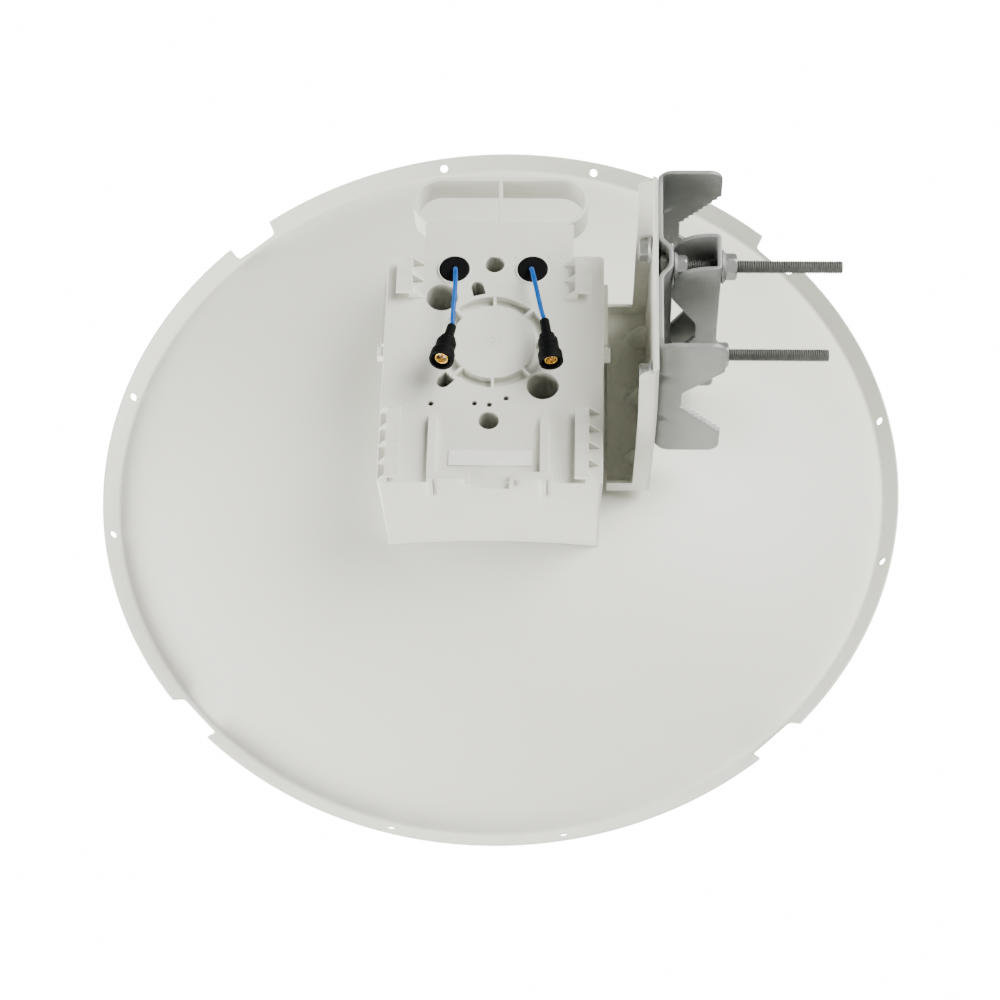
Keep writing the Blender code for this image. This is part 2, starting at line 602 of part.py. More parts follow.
def build_pigtail(label, seat, route, mouth, finishes, parent):
    """Grommet on its seat, coax tube, rubber boot and gold socket of one antenna port."""
    rubber, jacket, gold = finishes
    start = Vector(route[0])
    end = Vector(route[-1])
    axis = (Vector(mouth) - end).normalized()
    shape = bmesh.new()
    turned(shape, [(0.0113, GAP), (0.0113, 0.0010), (0.0105, 0.0015)],
           (*seat, REAR_FACE), (0, 0, 1), 32)
    add_piece("grommet_" + label, shape, rubber, parent)
    shape = bmesh.new()
    profile = [(0.0028, GAP), (0.0038, 0.0010), (0.0038, 0.0130), (0.0060, 0.0138),
               (0.0060, 0.0168), (0.0075, 0.0180), (0.0078, 0.0280), (0.0092, 0.0296),
               (0.0092, 0.0375), (0.0086, 0.0380), (0.0070, 0.0380), (0.0070, 0.0290)]
    turned(shape, profile, end, axis)
    add_piece("boot_" + label, shape, rubber, parent)
    shape = bmesh.new()
    profile = [(0.0049, 0.0293), (0.0052, 0.0296), (0.0052, 0.0358), (0.0049, 0.0360),
               (0.0036, 0.0360), (0.0034, 0.0310)]
    turned(shape, profile, end, axis)
    add_piece("socket_" + label, shape, gold, parent)
    curve = bpy.data.curves.new("pigtail_" + label, "CURVE")
    curve.dimensions = "3D"
    curve.bevel_depth = 0.0018
    curve.bevel_resolution = 2
    curve.use_fill_caps = True
    spline = curve.splines.new("POLY")
    leave = (Vector(route[1]) - start).normalized()
    points = smooth_route(route, 0.0045, leave, axis)
    spline.points.add(len(points) - 1)
    for target, point in zip(spline.points, points):
        target.co = (*point, 1.0)
    curve.materials.append(jacket)
    tube = bpy.data.objects.new("pigtail_" + label, curve)
    bpy.context.collection.objects.link(tube)
    tube.parent = parent
    tube.location = -Vector(parent["place"])


def build_feed(plastic, metal, parent):
    """Guide tube through the reflector, its flange, the cone and the end cap in front."""
    focus = APEX - FOCAL_LENGTH
    shape = bmesh.new()
    turned(shape, [(0.019, focus + 0.020), (0.019, 0.110), (0.017, 0.110),
                   (0.017, focus + 0.020)], (0, 0, 0), (0, 0, 1), 32, capped=False)
    add_piece("feed_tube", shape, metal, parent)
    shape = bmesh.new()
    seat = APEX - SHEET - 0.0009
    turned(shape, [(0.0193, seat - 0.005), (0.034, seat - 0.005), (0.036, seat - 0.0035),
                   (0.036, seat - 0.0010), (0.0193, seat)], (0, 0, 0), (0, 0, 1), 32, capped=False)
    add_piece("feed_flange", shape, metal, parent)
    shape = bmesh.new()
    turned(shape, [(0.034, focus - 0.002), (0.034, focus), (0.020, focus + 0.0197)],
           (0, 0, 0), (0, 0, 1), 32)
    add_piece("feed_cone", shape, plastic, parent)
    shape = bmesh.new()
    turned(shape, [(0.030, focus - 0.0085), (0.037, focus - 0.007), (0.038, focus - 0.0023)],
           (0, 0, 0), (0, 0, 1), 32)
    add_piece("feed_cap", shape, plastic, parent)


def build_label(paper, parent):
    """Blank label plate on the rear face."""
    shape = bmesh.new()
    box(shape, (-0.0310, 0.0310), (-0.0947, -0.0815), (REAR_FACE + GAP, REAR_FACE + 0.0007))
    add_piece("label_plate", shape, paper, parent)


clear_scene()
dish_paint = material("dish_paint", "DCDDDA", 0.45, 0.0)
bracket_paint = material("bracket_paint", "DDDED6", 0.45, 0.0)
housing_plastic = material("housing_plastic", "DEDFD6", 0.5, 0.0)
grey_steel = material("grey_steel", "9A9C9B", 0.5, 0.6)
zinc_steel = material("zinc_steel", "A3A5A3", 0.4, 0.8)
feed_metal = material("feed_metal", "B9BBBA", 0.4, 0.8)
black_rubber = material("black_rubber", "17181A", 0.7, 0.0)
blue_jacket = material("blue_jacket", "3F7FC4", 0.4, 0.0)
gold_plate = material("gold_plate", "D0A84C", 0.3, 1.0)
label_white = material("label_white", "F4F4F2", 0.6, 0.0)

pole_frame = frame("pole_frame", ORIGIN)
antenna_frame = frame("antenna_frame", PIVOT)
clamp_frame = frame("clamp_frame", ORIGIN)

build_pole_bracket(grey_steel, pole_frame)
build_jaw(grey_steel, clamp_frame)
build_fasteners(zinc_steel, pole_frame, clamp_frame)
build_reflector(dish_paint, antenna_frame)
build_housing(housing_plastic, antenna_frame)
build_handle(housing_plastic, antenna_frame)
build_tilt_bracket(bracket_paint, antenna_frame)
build_feed(housing_plastic, feed_metal, antenna_frame)
build_label(label_white, antenna_frame)

left_route = [(-0.0312, 0.0796, 0.1774), (-0.0308, 0.0768, 0.1816), (-0.0304, 0.0722, 0.1860),
              (-0.0301, 0.0666, 0.1884), (-0.0299, 0.0560, 0.1900), (-0.0302, 0.0420, 0.1906),
              (-0.0307, 0.0300, 0.1905), (-0.0312, 0.0183, 0.1905)]
right_route = [(0.0276, 0.0798, 0.1774), (0.0280, 0.0770, 0.1816), (0.0286, 0.0723, 0.1860),
               (0.0295, 0.0667, 0.1884), (0.0316, 0.0560, 0.1900), (0.0344, 0.0420, 0.1910),
               (0.0367, 0.0310, 0.1914), (0.0387, 0.0232, 0.1920)]
port_finishes = (black_rubber, blue_jacket, gold_plate)
build_pigtail("left", (-0.0320, 0.0808), left_route, (-0.0374, -0.0188, 0.2020), port_finishes,
              antenna_frame)
build_pigtail("right", (0.0285, 0.0810), right_route, (0.0442, -0.0141, 0.1955), port_finishes,
              antenna_frame)
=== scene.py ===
# Looks of the microwave dish antenna: every piece in fine surfaces and procedural finishes.
# Pieces are worked out in the dish's own frame, x to the right, y up and z to the rear with
# the rim plane at z = 0, and are then stood up in the part's frame.
import math

import bmesh
import bpy
import numpy as np
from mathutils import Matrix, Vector


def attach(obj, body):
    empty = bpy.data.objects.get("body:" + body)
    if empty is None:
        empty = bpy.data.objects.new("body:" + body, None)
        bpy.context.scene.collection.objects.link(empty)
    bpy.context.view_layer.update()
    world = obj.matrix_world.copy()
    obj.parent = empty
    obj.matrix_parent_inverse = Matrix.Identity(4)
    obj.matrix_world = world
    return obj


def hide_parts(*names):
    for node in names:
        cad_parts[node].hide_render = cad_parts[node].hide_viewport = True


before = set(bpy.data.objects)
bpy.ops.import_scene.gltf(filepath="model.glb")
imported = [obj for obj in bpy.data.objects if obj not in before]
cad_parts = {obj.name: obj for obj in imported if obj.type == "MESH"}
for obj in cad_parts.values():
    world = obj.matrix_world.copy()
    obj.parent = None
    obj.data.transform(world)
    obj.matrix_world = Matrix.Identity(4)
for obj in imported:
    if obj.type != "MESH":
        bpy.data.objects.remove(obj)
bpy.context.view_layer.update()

# Camera and light
# The dish is seen from behind and from below, as in the photograph, through a long lens.
# Four softboxes stand off to the sides, so that hollows fall into shade, and a broad ceiling
# light in front fills the bowl. The white room is bright to look at but gives a weak fill.
SENSOR_WIDTH, LENS = 36.0, 92.67
CAMERA_PLACE, CAMERA_TURN = (-0.05968, -1.64281, -1.09088), (119.3691, -1.3935, 1.5403)
# Name, place, length of a side and power in watts of each softbox. All of them face one
# point on the housing, through a grid that narrows the beam.
SOFTBOXES = (("upper_right_softbox", (1.42, -1.64, 0.66), 2.2, 42.0),
             ("lower_left_softbox", (-1.37, -0.07, -1.65), 1.8, 23.5),
             ("low_softbox", (-0.09, 0.18, -1.65), 1.3, 4.5),
             ("left_softbox", (-2.50, 0.03, -0.09), 1.8, 21.5))
SOFTBOX_AIM, SOFTBOX_SPREAD, WARM_WHITE = (-0.1, 0.1, -0.05), 70, (1.0, 0.985, 0.95)
CEILING_POWER, CEILING_WIDTH, CEILING_TURN = 5.4, 50, (-50, 0, 18)
ROOM_FILL, ROOM_SEEN = 0.015, 16.0


def put(name, data):
    """A new object that holds the data, in the scene."""
    made = bpy.data.objects.new(name, data)
    bpy.context.collection.objects.link(made)
    return made


def add_node(tree, kind, values=(), links=(), **settings):
    """Add a shader node, set its properties and sockets, and link its inputs."""
    made = tree.nodes.new("ShaderNode" + kind)
    for key, value in settings.items():
        setattr(made, key, value)
    for socket, value in dict(values).items():
        made.inputs[socket].default_value = value
    for socket, source in dict(links).items():
        tree.links.new(source, made.inputs[socket])
    return made


camera_data = bpy.data.cameras.new("view")
camera_data.sensor_width = SENSOR_WIDTH
camera_data.lens = LENS
camera_data.clip_end = 50.0
camera = put("view", camera_data)
camera.location = CAMERA_PLACE
camera.rotation_euler = np.radians(CAMERA_TURN)
bpy.context.scene.camera = camera

for name, place, side, power in SOFTBOXES:
    softbox = bpy.data.lights.new(name, "AREA")
    softbox.shape = "SQUARE"
    softbox.size = side
    softbox.energy = power
    softbox.spread = math.radians(SOFTBOX_SPREAD)
    softbox.color = WARM_WHITE
    lamp = put(name, softbox)
    lamp.location = place
    facing = Vector(SOFTBOX_AIM) - lamp.location
    lamp.rotation_euler = facing.to_track_quat("-Z", "Y").to_euler()
ceiling = bpy.data.lights.new("front_ceiling", "SUN")
ceiling.energy = CEILING_POWER
ceiling.angle = math.radians(CEILING_WIDTH)
put("front_ceiling", ceiling).rotation_euler = np.radians(CEILING_TURN)

room = bpy.data.worlds.new("white_room")
room.use_nodes = True
wall = room.node_tree.nodes["Background"]
wall.inputs["Color"].default_value = (1.0, 1.0, 1.0, 1.0)
seen = add_node(room.node_tree, "LightPath")
level = add_node(room.node_tree, "MapRange", {"To Min": ROOM_FILL, "To Max": ROOM_SEEN},
                 {"Value": seen.outputs["Is Camera Ray"]})
room.node_tree.links.new(level.outputs[0], wall.inputs["Strength"])
bpy.context.scene.world = room

# Coax pigtails with their boots, sockets and grommets
# Two blue fluoropolymer-jacketed cables leave rubber grommets in the cover and end in
# moulded black boots round gold-plated sockets. The cable is stiff and keeps its bend.
RIM_MIDDLE = (-0.1348, 0.179, -0.040)
REAR_FACE = 0.1746
CABLE_RADIUS = 0.0018
ALONG_Z = (0, 0, 1)
GROMMET_SEATS = {"left": (-0.0320, 0.0808, REAR_FACE), "right": (0.0285, 0.0810, REAR_FACE)}


def stand(points):
    """From the dish's frame to the part's frame: x, minus z and y, from the rim's middle."""
    x, y, z = np.moveaxis(np.asarray(points, dtype=float), -1, 0)
    return np.stack([RIM_MIDDLE[0] + x, RIM_MIDDLE[1] - z, RIM_MIDDLE[2] + y], axis=-1)


def net(points, around=False, along=False):
    """Squares between the neighbours of a grid of points. Around joins its last column
    to the first, and along its last row to the first."""
    rows, columns = points.shape[:2]
    i, j = np.meshgrid(np.arange(rows - (not along)), np.arange(columns - (not around)),
                       indexing="ij")
    below, beside = (i + 1) % rows, (j + 1) % columns
    quads = np.stack([i * columns + j, i * columns + beside, below * columns + beside,
                      below * columns + j], axis=-1)
    return points.reshape(-1, 3), [quads.reshape(-1, 4)]


def capped(rings):
    """A net round a stack of rings, with a flat face over the first and the last of them."""
    points, quads = net(rings, around=True)
    end = np.arange(rings.shape[1])[None]
    return points, quads + [end, end + len(points) - rings.shape[1]]


def full_turn(count):
    """Even angles round a circle, the first of them 0."""
    return np.linspace(0, 2 * np.pi, count, endpoint=False)


def rounded(corners, radius, steps):
    """Each corner of a closed outline gives way to a parabola that leaves one side and
    meets the next at radius from the corner, or at 0.45 of the shorter side."""
    corners = np.asarray(corners, dtype=float)
    before = np.roll(corners, 1, axis=0) - corners
    after = np.roll(corners, -1, axis=0) - corners
    back = np.linalg.norm(before, axis=1, keepdims=True)
    ahead = np.linalg.norm(after, axis=1, keepdims=True)
    size = np.broadcast_to(np.asarray(radius, dtype=float).reshape(-1, 1), back.shape)
    size = np.minimum(size, 0.45 * np.minimum(back, ahead))
    start = corners + before / back * size
    end = corners + after / ahead * size
    t = np.linspace(0, 1, steps)[:, None, None]
    curve = (1 - t) ** 2 * start + 2 * t * (1 - t) * corners + t ** 2 * end
    return curve.transpose(1, 0, 2).reshape(-1, corners.shape[1])


def turned(profile, origin, axis, sides, closed=False):
    """A profile of (radius, distance) pairs carried round an axis: each point is the origin,
    plus its distance along the axis, plus its radius times the turning arm."""
    axis = np.array(axis, dtype=float)
    axis /= np.linalg.norm(axis)
    arm = np.cross(axis, (1.0, 0.0, 0.0) if abs(axis[0]) < 0.9 else (0.0, 0.0, 1.0))
    arm /= np.linalg.norm(arm)
    angle = full_turn(sides)[:, None]
    arms = np.cos(angle) * arm + np.sin(angle) * np.cross(axis, arm)
    radius, reach = np.asarray(profile, dtype=float).T
    points = np.asarray(origin) + radius[:, None, None] * arms + reach[:, None, None] * axis
    return net(points, around=True, along=closed)


def piece(name, parts, finish, body, node=None, sharp=35.0):
    """One object from several nets: their points are stood up, doubled points are merged,
    faces are turned outward, and edges steeper than the sharp angle stay crisp."""
    starts = np.cumsum([0] + [len(points) for points, blocks in parts])
    faces = []
    for start, (points, blocks) in zip(starts, parts):
        for block in blocks:
            faces += (np.asarray(block) + start).tolist()
    mesh = bpy.data.meshes.new(name)
    mesh.from_pydata(stand(np.concatenate([points for points, blocks in parts])), [], faces)
    work = bmesh.new()
    work.from_mesh(mesh)
    bmesh.ops.remove_doubles(work, verts=work.verts, dist=2e-6)
    bmesh.ops.dissolve_degenerate(work, edges=work.edges, dist=1e-7)
    bmesh.ops.recalc_face_normals(work, faces=work.faces)
    work.to_mesh(mesh)
    work.free()
    mesh.shade_smooth()
    mesh.set_sharp_from_angle(angle=math.radians(sharp))
    mesh.materials.append(finish)
    made = put(name, mesh)
    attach(made, body)
    if node:
        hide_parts(node)
    return made


def colour(value):
    """An sRGB hex colour as linear light: channel/12.92, or ((channel + 0.055)/1.055)^2.4."""
    channels = np.array([int(value[i:i + 2], 16) for i in (0, 2, 4)]) / 255.0
    bright = ((channels + 0.055) / 1.055) ** 2.4
    light = np.where(channels <= 0.04045, channels / 12.92, bright)
    return (*light.tolist(), 1.0)


def start_finish(name, roughness, metallic=0.0):
    """A Principled material, with its tree, its shader and the place on the object."""
    made = bpy.data.materials.new(name)
    made.use_nodes = True
    tree = made.node_tree
    shader = tree.nodes["Principled BSDF"]
    shader.inputs["Roughness"].default_value = roughness
    shader.inputs["Metallic"].default_value = metallic
    place = add_node(tree, "TexCoord").outputs["Object"]
    return made, tree, shader, place


def mottle(tree, place, shader, pale, dark, size):
    """Colour that drifts between two shades over patches of a size in metres."""
    noise = add_node(tree, "TexNoise", {"Scale": 1 / size, "Detail": 4.0, "Roughness": 0.55},
                     {"Vector": place})
    spread = add_node(tree, "MapRange", {"From Min": 0.28, "From Max": 0.72},
                      {"Value": noise.outputs["Fac"]})
    mix = add_node(tree, "Mix", {6: colour(pale), 7: colour(dark)}, {0: spread.outputs[0]},
                   data_type="RGBA")
    tree.links.new(mix.outputs[2], shader.inputs["Base Color"])
    return mix.outputs[2]


def grain(tree, place, shader, size, height, roughness=None):
    """Fine relief of a grain size and a height in metres, and gloss that varies with it."""
    noise = add_node(tree, "TexNoise", {"Scale": 1 / size, "Detail": 2.0}, {"Vector": place})
    bump = add_node(tree, "Bump", {"Strength": 1.0, "Distance": height},
                    {"Height": noise.outputs["Fac"]})
    tree.links.new(bump.outputs["Normal"], shader.inputs["Normal"])
    if roughness:
        span = add_node(tree, "MapRange", {"From Min": 0.3, "From Max": 0.7,
                                           "To Min": roughness[0], "To Max": roughness[1]},
                        {"Value": noise.outputs["Fac"]})
        tree.links.new(span.outputs[0], shader.inputs["Roughness"])


# Fluoropolymer jacket, extruded: smooth and slightly waxy, with a faint drift of shade.
blue_jacket, tree, shader, place = start_finish("blue_fep_jacket", 0.33)
mottle(tree, place, shader, "1156A6", "0D4993", 0.006)
grain(tree, place, shader, 0.0012, 0.00002, roughness=(0.28, 0.4))
shader.inputs["Specular IOR Level"].default_value = 0.2

# EPDM rubber, moulded: near black and dull, with a fine matt grain.
black_rubber, tree, shader, place = start_finish("black_epdm_rubber", 0.62)
mottle(tree, place, shader, "070809", "030405", 0.004)
grain(tree, place, shader, 0.0005, 0.00003, roughness=(0.55, 0.75))
shader.inputs["Specular IOR Level"].default_value = 0.09

# Gold plate on turned brass: a warm mirror, a little uneven from the turning.
gold_plate, tree, shader, place = start_finish("gold_plated_brass", 0.2, 1.0)
mottle(tree, place, shader, "E9C369", "C8963A", 0.002)
grain(tree, place, shader, 0.0004, 0.00001, roughness=(0.14, 0.3))

# PTFE, turned: milky white and soft.
white_ptfe, tree, shader, place = start_finish("white_ptfe", 0.45)
mottle(tree, place, shader, "ECEAE2", "D9D5C8", 0.002)
grain(tree, place, shader, 0.0004, 0.00001)


def run_along(points):
    """Distance along a line from its first point to each of its points."""
    steps = np.linalg.norm(np.diff(points, axis=0), axis=1)
    return np.concatenate([[0], np.cumsum(steps)])


def read_off(values, length, at):
    """Rows of values that belong to lengths along a line, read off between them."""
    return np.stack([np.interp(at, length, column) for column in values.T], axis=-1)


def smooth_route(points, leave, arrive, count):
    """Hermite curve through the route's points, at even distances: each stretch blends its
    end points and end slopes with the four cubic weights."""
    points = np.array(points, dtype=float)
    knots = run_along(points)
    slopes = np.gradient(points, knots, axis=0)
    slopes[0] = leave
    slopes[-1] = arrive
    fine = np.linspace(0, knots[-1], 800)
    k = np.clip(np.searchsorted(knots, fine, side="right") - 1, 0, len(knots) - 2)
    span = (knots[k + 1] - knots[k])[:, None]
    t = (fine - knots[k])[:, None] / span
    curve = (2 * t**3 - 3 * t**2 + 1) * points[k] + (t**3 - 2 * t**2 + t) * span * slopes[k]
    curve += (3 * t**2 - 2 * t**3) * points[k + 1] + (t**3 - t**2) * span * slopes[k + 1]
    length = run_along(curve)
    return read_off(curve, length, np.linspace(0, length[-1], count))


# Profiles in pairs of radius and distance: beyond the cable's end for the boot, the socket
# and its insulator, and from the face and the cable's start for the grommet
BOOT = rounded([(0.0019, 0.0004), (0.0036, 0.0004), (0.0038, 0.0132), (0.0044, 0.0148),
                (0.0060, 0.0152), (0.0061, 0.0180), (0.0070, 0.0191), (0.0076, 0.0200),
                (0.0077, 0.0252), (0.0072, 0.0256), (0.0072, 0.0263), (0.0077, 0.0267),
                (0.0078, 0.0304), (0.0089, 0.0319), (0.0092, 0.0330), (0.0092, 0.0404),
                (0.0088, 0.0412), (0.0075, 0.0412), (0.0070, 0.0406), (0.0069, 0.0321),
                (0.0019, 0.0317)], 0.0004, 4)
SLEEVE = rounded([(0.0048, 0.0319), (0.0052, 0.0322), (0.0052, 0.0382), (0.0050, 0.0388),
                  (0.0039, 0.0388), (0.0037, 0.0382), (0.0037, 0.0345), (0.0048, 0.0343)],
                 0.0002, 3)
PIN = ((0.0, 0.0385), (0.0005, 0.0384), (0.0008, 0.0380), (0.0008, 0.0321), (0.0, 0.0321))
INSULATOR = ((0.0009, 0.0343), (0.0033, 0.0343), (0.0035, 0.0341), (0.0035, 0.0323),
             (0.0009, 0.0323))
GROMMET_DOME = rounded([(0.0, 0.0003), (0.0116, 0.0003), (0.0117, 0.0012), (0.0106, 0.0016),
                        (0.0, 0.0015)], [0, 0.0003, 0.0004, 0.0004, 0], 4)
GROMMET_COLLAR = rounded([(0.0019, 0.0004), (0.0023, 0.0004), (0.0027, -0.0032),
                          (0.0019, -0.0032)], 0.0002, 3)


def pigtail(side, seat, route, mouth):
    """Cable, boot, socket and grommet of one port. The cable follows its route from the
    seat, and the boot points from the route's end to the mouth."""
    end = np.array(route[-1])
    axis = np.array(mouth) - end
    axis /= np.linalg.norm(axis)
    leave = np.array(route[1]) - np.array(route[0])
    leave /= np.linalg.norm(leave)
    points = stand(smooth_route(route, leave, axis, 36))
    curve = bpy.data.curves.new("cable_" + side, "CURVE")
    curve.dimensions = "3D"
    curve.bevel_depth = CABLE_RADIUS
    curve.bevel_resolution = 8
    curve.use_fill_caps = True
    spline = curve.splines.new("POLY")
    spline.points.add(len(points) - 1)
    spline.points.foreach_set("co", np.c_[points, np.ones(len(points))].ravel())
    spline.use_smooth = True
    curve.materials.append(blue_jacket)
    cable = put("cable_" + side, curve)
    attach(cable, "antenna")
    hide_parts("pigtail_" + side)

    boot = piece("moulded_boot_" + side, [turned(BOOT, end, axis, 64, True)], black_rubber,
                 "antenna", "boot_" + side, 50.0)
    socket = piece("gold_socket_" + side, [turned(SLEEVE, end, axis, 48, True),
                                           turned(PIN, end, axis, 16)],
                   gold_plate, "antenna", "socket_" + side, 50.0)
    dielectric = piece("socket_insulator_" + side, [turned(INSULATOR, end, axis, 32, True)],
                       white_ptfe, "antenna")
    piece("rubber_grommet_" + side, [turned(GROMMET_DOME, seat, ALONG_Z, 64),
                                     turned(GROMMET_COLLAR, route[0], leave, 32, True)],
          black_rubber, "antenna", "grommet_" + side, 50.0)


pigtail("left", GROMMET_SEATS["left"],
        [(-0.0312, 0.0796, 0.1774), (-0.0308, 0.0768, 0.1816), (-0.0304, 0.0722, 0.1860),
         (-0.0301, 0.0666, 0.1884), (-0.0299, 0.0560, 0.1900), (-0.0302, 0.0420, 0.1906),
         (-0.0307, 0.0300, 0.1905), (-0.0312, 0.0183, 0.1905)], (-0.0374, -0.0188, 0.2020))
pigtail("right", GROMMET_SEATS["right"],
        [(0.0276, 0.0798, 0.1774), (0.0280, 0.0770, 0.1816), (0.0286, 0.0723, 0.1860),
         (0.0295, 0.0667, 0.1884), (0.0316, 0.0560, 0.1900), (0.0344, 0.0420, 0.1910),
         (0.0367, 0.0310, 0.1914), (0.0387, 0.0232, 0.1920)], (0.0442, -0.0141, 0.1955))

# Reflector
# A 650 mm dish spun from 2 mm aluminium sheet, with a brim that turns to the rear past a
# rounded valley. Eight rivet holes and four wide notches are punched in the brim, and the
# whole is powder coated a pale warm grey.
APEX, FOCAL_LENGTH, SHEET = 0.0976, 0.225, 0.002
HUB_RADIUS, BOWL_RADIUS, RIM_TURN = 0.0215, 0.3075, -0.030
RIVET_ANGLE, RIVET_CIRCLE, RIVET_RADIUS = math.radians(11.94), 0.3172, 0.0034


def dish_back(x, y):
    """Height of the rear surface: apex minus (x squared plus y squared) over four focal
    lengths."""
    return APEX - (x * x + y * y) / (4 * FOCAL_LENGTH)


def cut(target, tools):
    """Take closed shells away from a piece of the antenna for good."""
    tool = piece(target.name + "_tool", tools, target.data.materials[0], "antenna")
    change = target.modifiers.new("Cut", "BOOLEAN")
    change.operation = "DIFFERENCE"
    change.solver = "EXACT"
    change.object = tool
    bpy.context.view_layer.update()
    solid = bpy.data.meshes.new_from_object(
        target.evaluated_get(bpy.context.evaluated_depsgraph_get()))
    target.modifiers.remove(change)
    target.data = solid
    bpy.data.objects.remove(tool, do_unlink=True)


# Polyester powder coat on aluminium: satin, with fine orange peel and a very slight drift.
dish_coat, tree, shader, place = start_finish("pale_grey_powder_coat", 0.42)
mottle(tree, place, shader, "F0F1E8", "ECEDE3", 0.16)
grain(tree, place, shader, 0.0016, 0.00004, roughness=(0.38, 0.5))

# The front lies one sheet away from the rear, square to the slope. Rings lie closer
# together near the stud.
radii = np.unique(np.concatenate([np.linspace(HUB_RADIUS, BOWL_RADIUS, 27),
                                  np.linspace(0.147, 0.177, 19)]))
slope = radii / (2 * FOCAL_LENGTH)
tilt = np.hypot(1, slope)
rear = np.c_[radii, dish_back(radii, 0)]
front = np.c_[radii - SHEET * slope / tilt, rear[:, 1] - SHEET / tilt]
front[0, 0] = HUB_RADIUS
# The valley and the brim run from the bowl's last rear point to its last front point, and
# these two are left off again.
valley = rounded([(BOWL_RADIUS, dish_back(BOWL_RADIUS, 0)), (0.3123, -0.0108), (0.3236, 0.0),
                  (0.3250, -0.0014), (0.3130, -0.0133), (0.3066, front[-1, 1])],
                 [0, 0.0028, 0.0007, 0.0007, 0.0034, 0], 6)
profile = np.concatenate([rear, valley[6:-6], front[::-1]])
angle = full_turn(360)
shell = np.stack([profile[:, :1] * np.cos(angle), profile[:, :1] * np.sin(angle),
                  np.repeat(profile[:, 1:], 360, axis=1)], axis=-1)
# A stud pressed from the front leaves one low bump on the rear, 0.6 mm high.
from_stud = np.hypot(shell[..., 0] - 0.1547, shell[..., 1] + 0.0472)
shell[..., 2] += 0.0006 * np.exp(-(from_stud / 0.0048)**2)
reflector_dish = piece("reflector_dish", [net(shell, around=True, along=True)], dish_coat,
                       "antenna", "reflector", 25.0)


def drawn(outline, low, high, along="z"):
    """A closed outline carried straight from low to high along the third axis, with flat
    ends. Its two numbers are the other two axes in order."""
    outline = np.asarray(outline, dtype=float)
    axis = "xyz".index(along)
    return capped(np.stack([np.insert(outline, axis, level, axis=1) for level in (low, high)]))


rivet_hole = [(0, -0.006), (RIVET_RADIUS, -0.006), (RIVET_RADIUS, 0.006), (0, 0.006)]
tools = []
for quarter in range(4):
    for side in (-1, 1):
        turn = quarter * math.pi / 2 + side * RIVET_ANGLE + RIM_TURN
        out = np.array([math.cos(turn), math.sin(turn), 0.0])
        tools.append(turned(rivet_hole, out * RIVET_CIRCLE + (0, 0, -0.0064),
                            out * 0.69 + (0, 0, -0.72), 32))
    middle = quarter * math.pi / 2 + math.pi / 4 + RIM_TURN
    out = np.array([math.cos(middle), math.sin(middle)])
    across = np.array([-out[1], out[0]])
    notch = rounded([out * 0.315 - across * 0.020, out * 0.340 - across * 0.025,
                     out * 0.340 + across * 0.025, out * 0.315 + across * 0.020],
                    [0.003, 0.0002, 0.0002, 0.003], 6)
    tools.append(drawn(notch, -0.03, 0.02))
cut(reflector_dish, tools)
reflector_dish.data.set_sharp_from_angle(angle=math.radians(28))

# Feed
# An aluminium guide tube comes through the middle of the dish. A turned flange with four
# screws holds it, and a moulded cone and end cap sit at the focus in front.
FOCUS = APEX - FOCAL_LENGTH
FLANGE_SEAT, SCREW_CIRCLE = APEX - SHEET - 0.0009, 0.0275
TUBE_OUTER, TUBE_INNER, TUBE_FRONT, TUBE_REAR = 0.0190, 0.0170, FOCUS + 0.0201, 0.1099

# Extruded aluminium, clear anodised: satin grey with fine lines along the draw.
anodised_tube, tree, shader, place = start_finish("clear_anodised_aluminium", 0.48, 0.8)
mottle(tree, place, shader, "C3C5C4", "B0B2B1", 0.02)
lines = add_node(tree, "Mapping", {"Scale": (1.0, 0.04, 1.0)}, {"Vector": place})
grain(tree, lines.outputs[0], shader, 0.0006, 0.00001, roughness=(0.42, 0.56))

# Polystyrene cone, moulded: clean white with a fine spark-eroded grain.
feed_plastic, tree, shader, place = start_finish("white_moulded_polystyrene", 0.4)
mottle(tree, place, shader, "EDEEEA", "E2E3DE", 0.02)
grain(tree, place, shader, 0.0007, 0.00003, roughness=(0.36, 0.48))

tube = rounded([(TUBE_OUTER, TUBE_FRONT), (TUBE_OUTER, TUBE_REAR), (TUBE_INNER, TUBE_REAR),
                (TUBE_INNER, TUBE_FRONT)], 0.0003, 3)
piece("guide_tube", [turned(tube, (0, 0, 0), ALONG_Z, 96, True)], anodised_tube, "antenna",
      "feed_tube", 40.0)
ring = rounded([(0.0193, -0.0050), (0.0340, -0.0050), (0.0358, -0.0036), (0.0360, -0.0012),
                (0.0193, -0.0001)], 0.0005, 4)
head = rounded([(0.0001, 0.0010), (0.0030, 0.0010), (0.0030, -0.0002), (0.0024, -0.0013),
                (0.0013, -0.0015), (0.0011, -0.0004), (0.0001, -0.0004)], 0.0002, 3)
ring_parts = [turned(ring, (0, 0, FLANGE_SEAT), ALONG_Z, 96, True)]
for turn in np.radians([45, 135, 225, 315]):
    screw_at = (SCREW_CIRCLE * math.cos(turn), SCREW_CIRCLE * math.sin(turn),
                FLANGE_SEAT - 0.0050)
    ring_parts.append(turned(head, screw_at, ALONG_Z, 24, True))
piece("feed_ring", ring_parts, anodised_tube, "antenna", "feed_flange", 40.0)
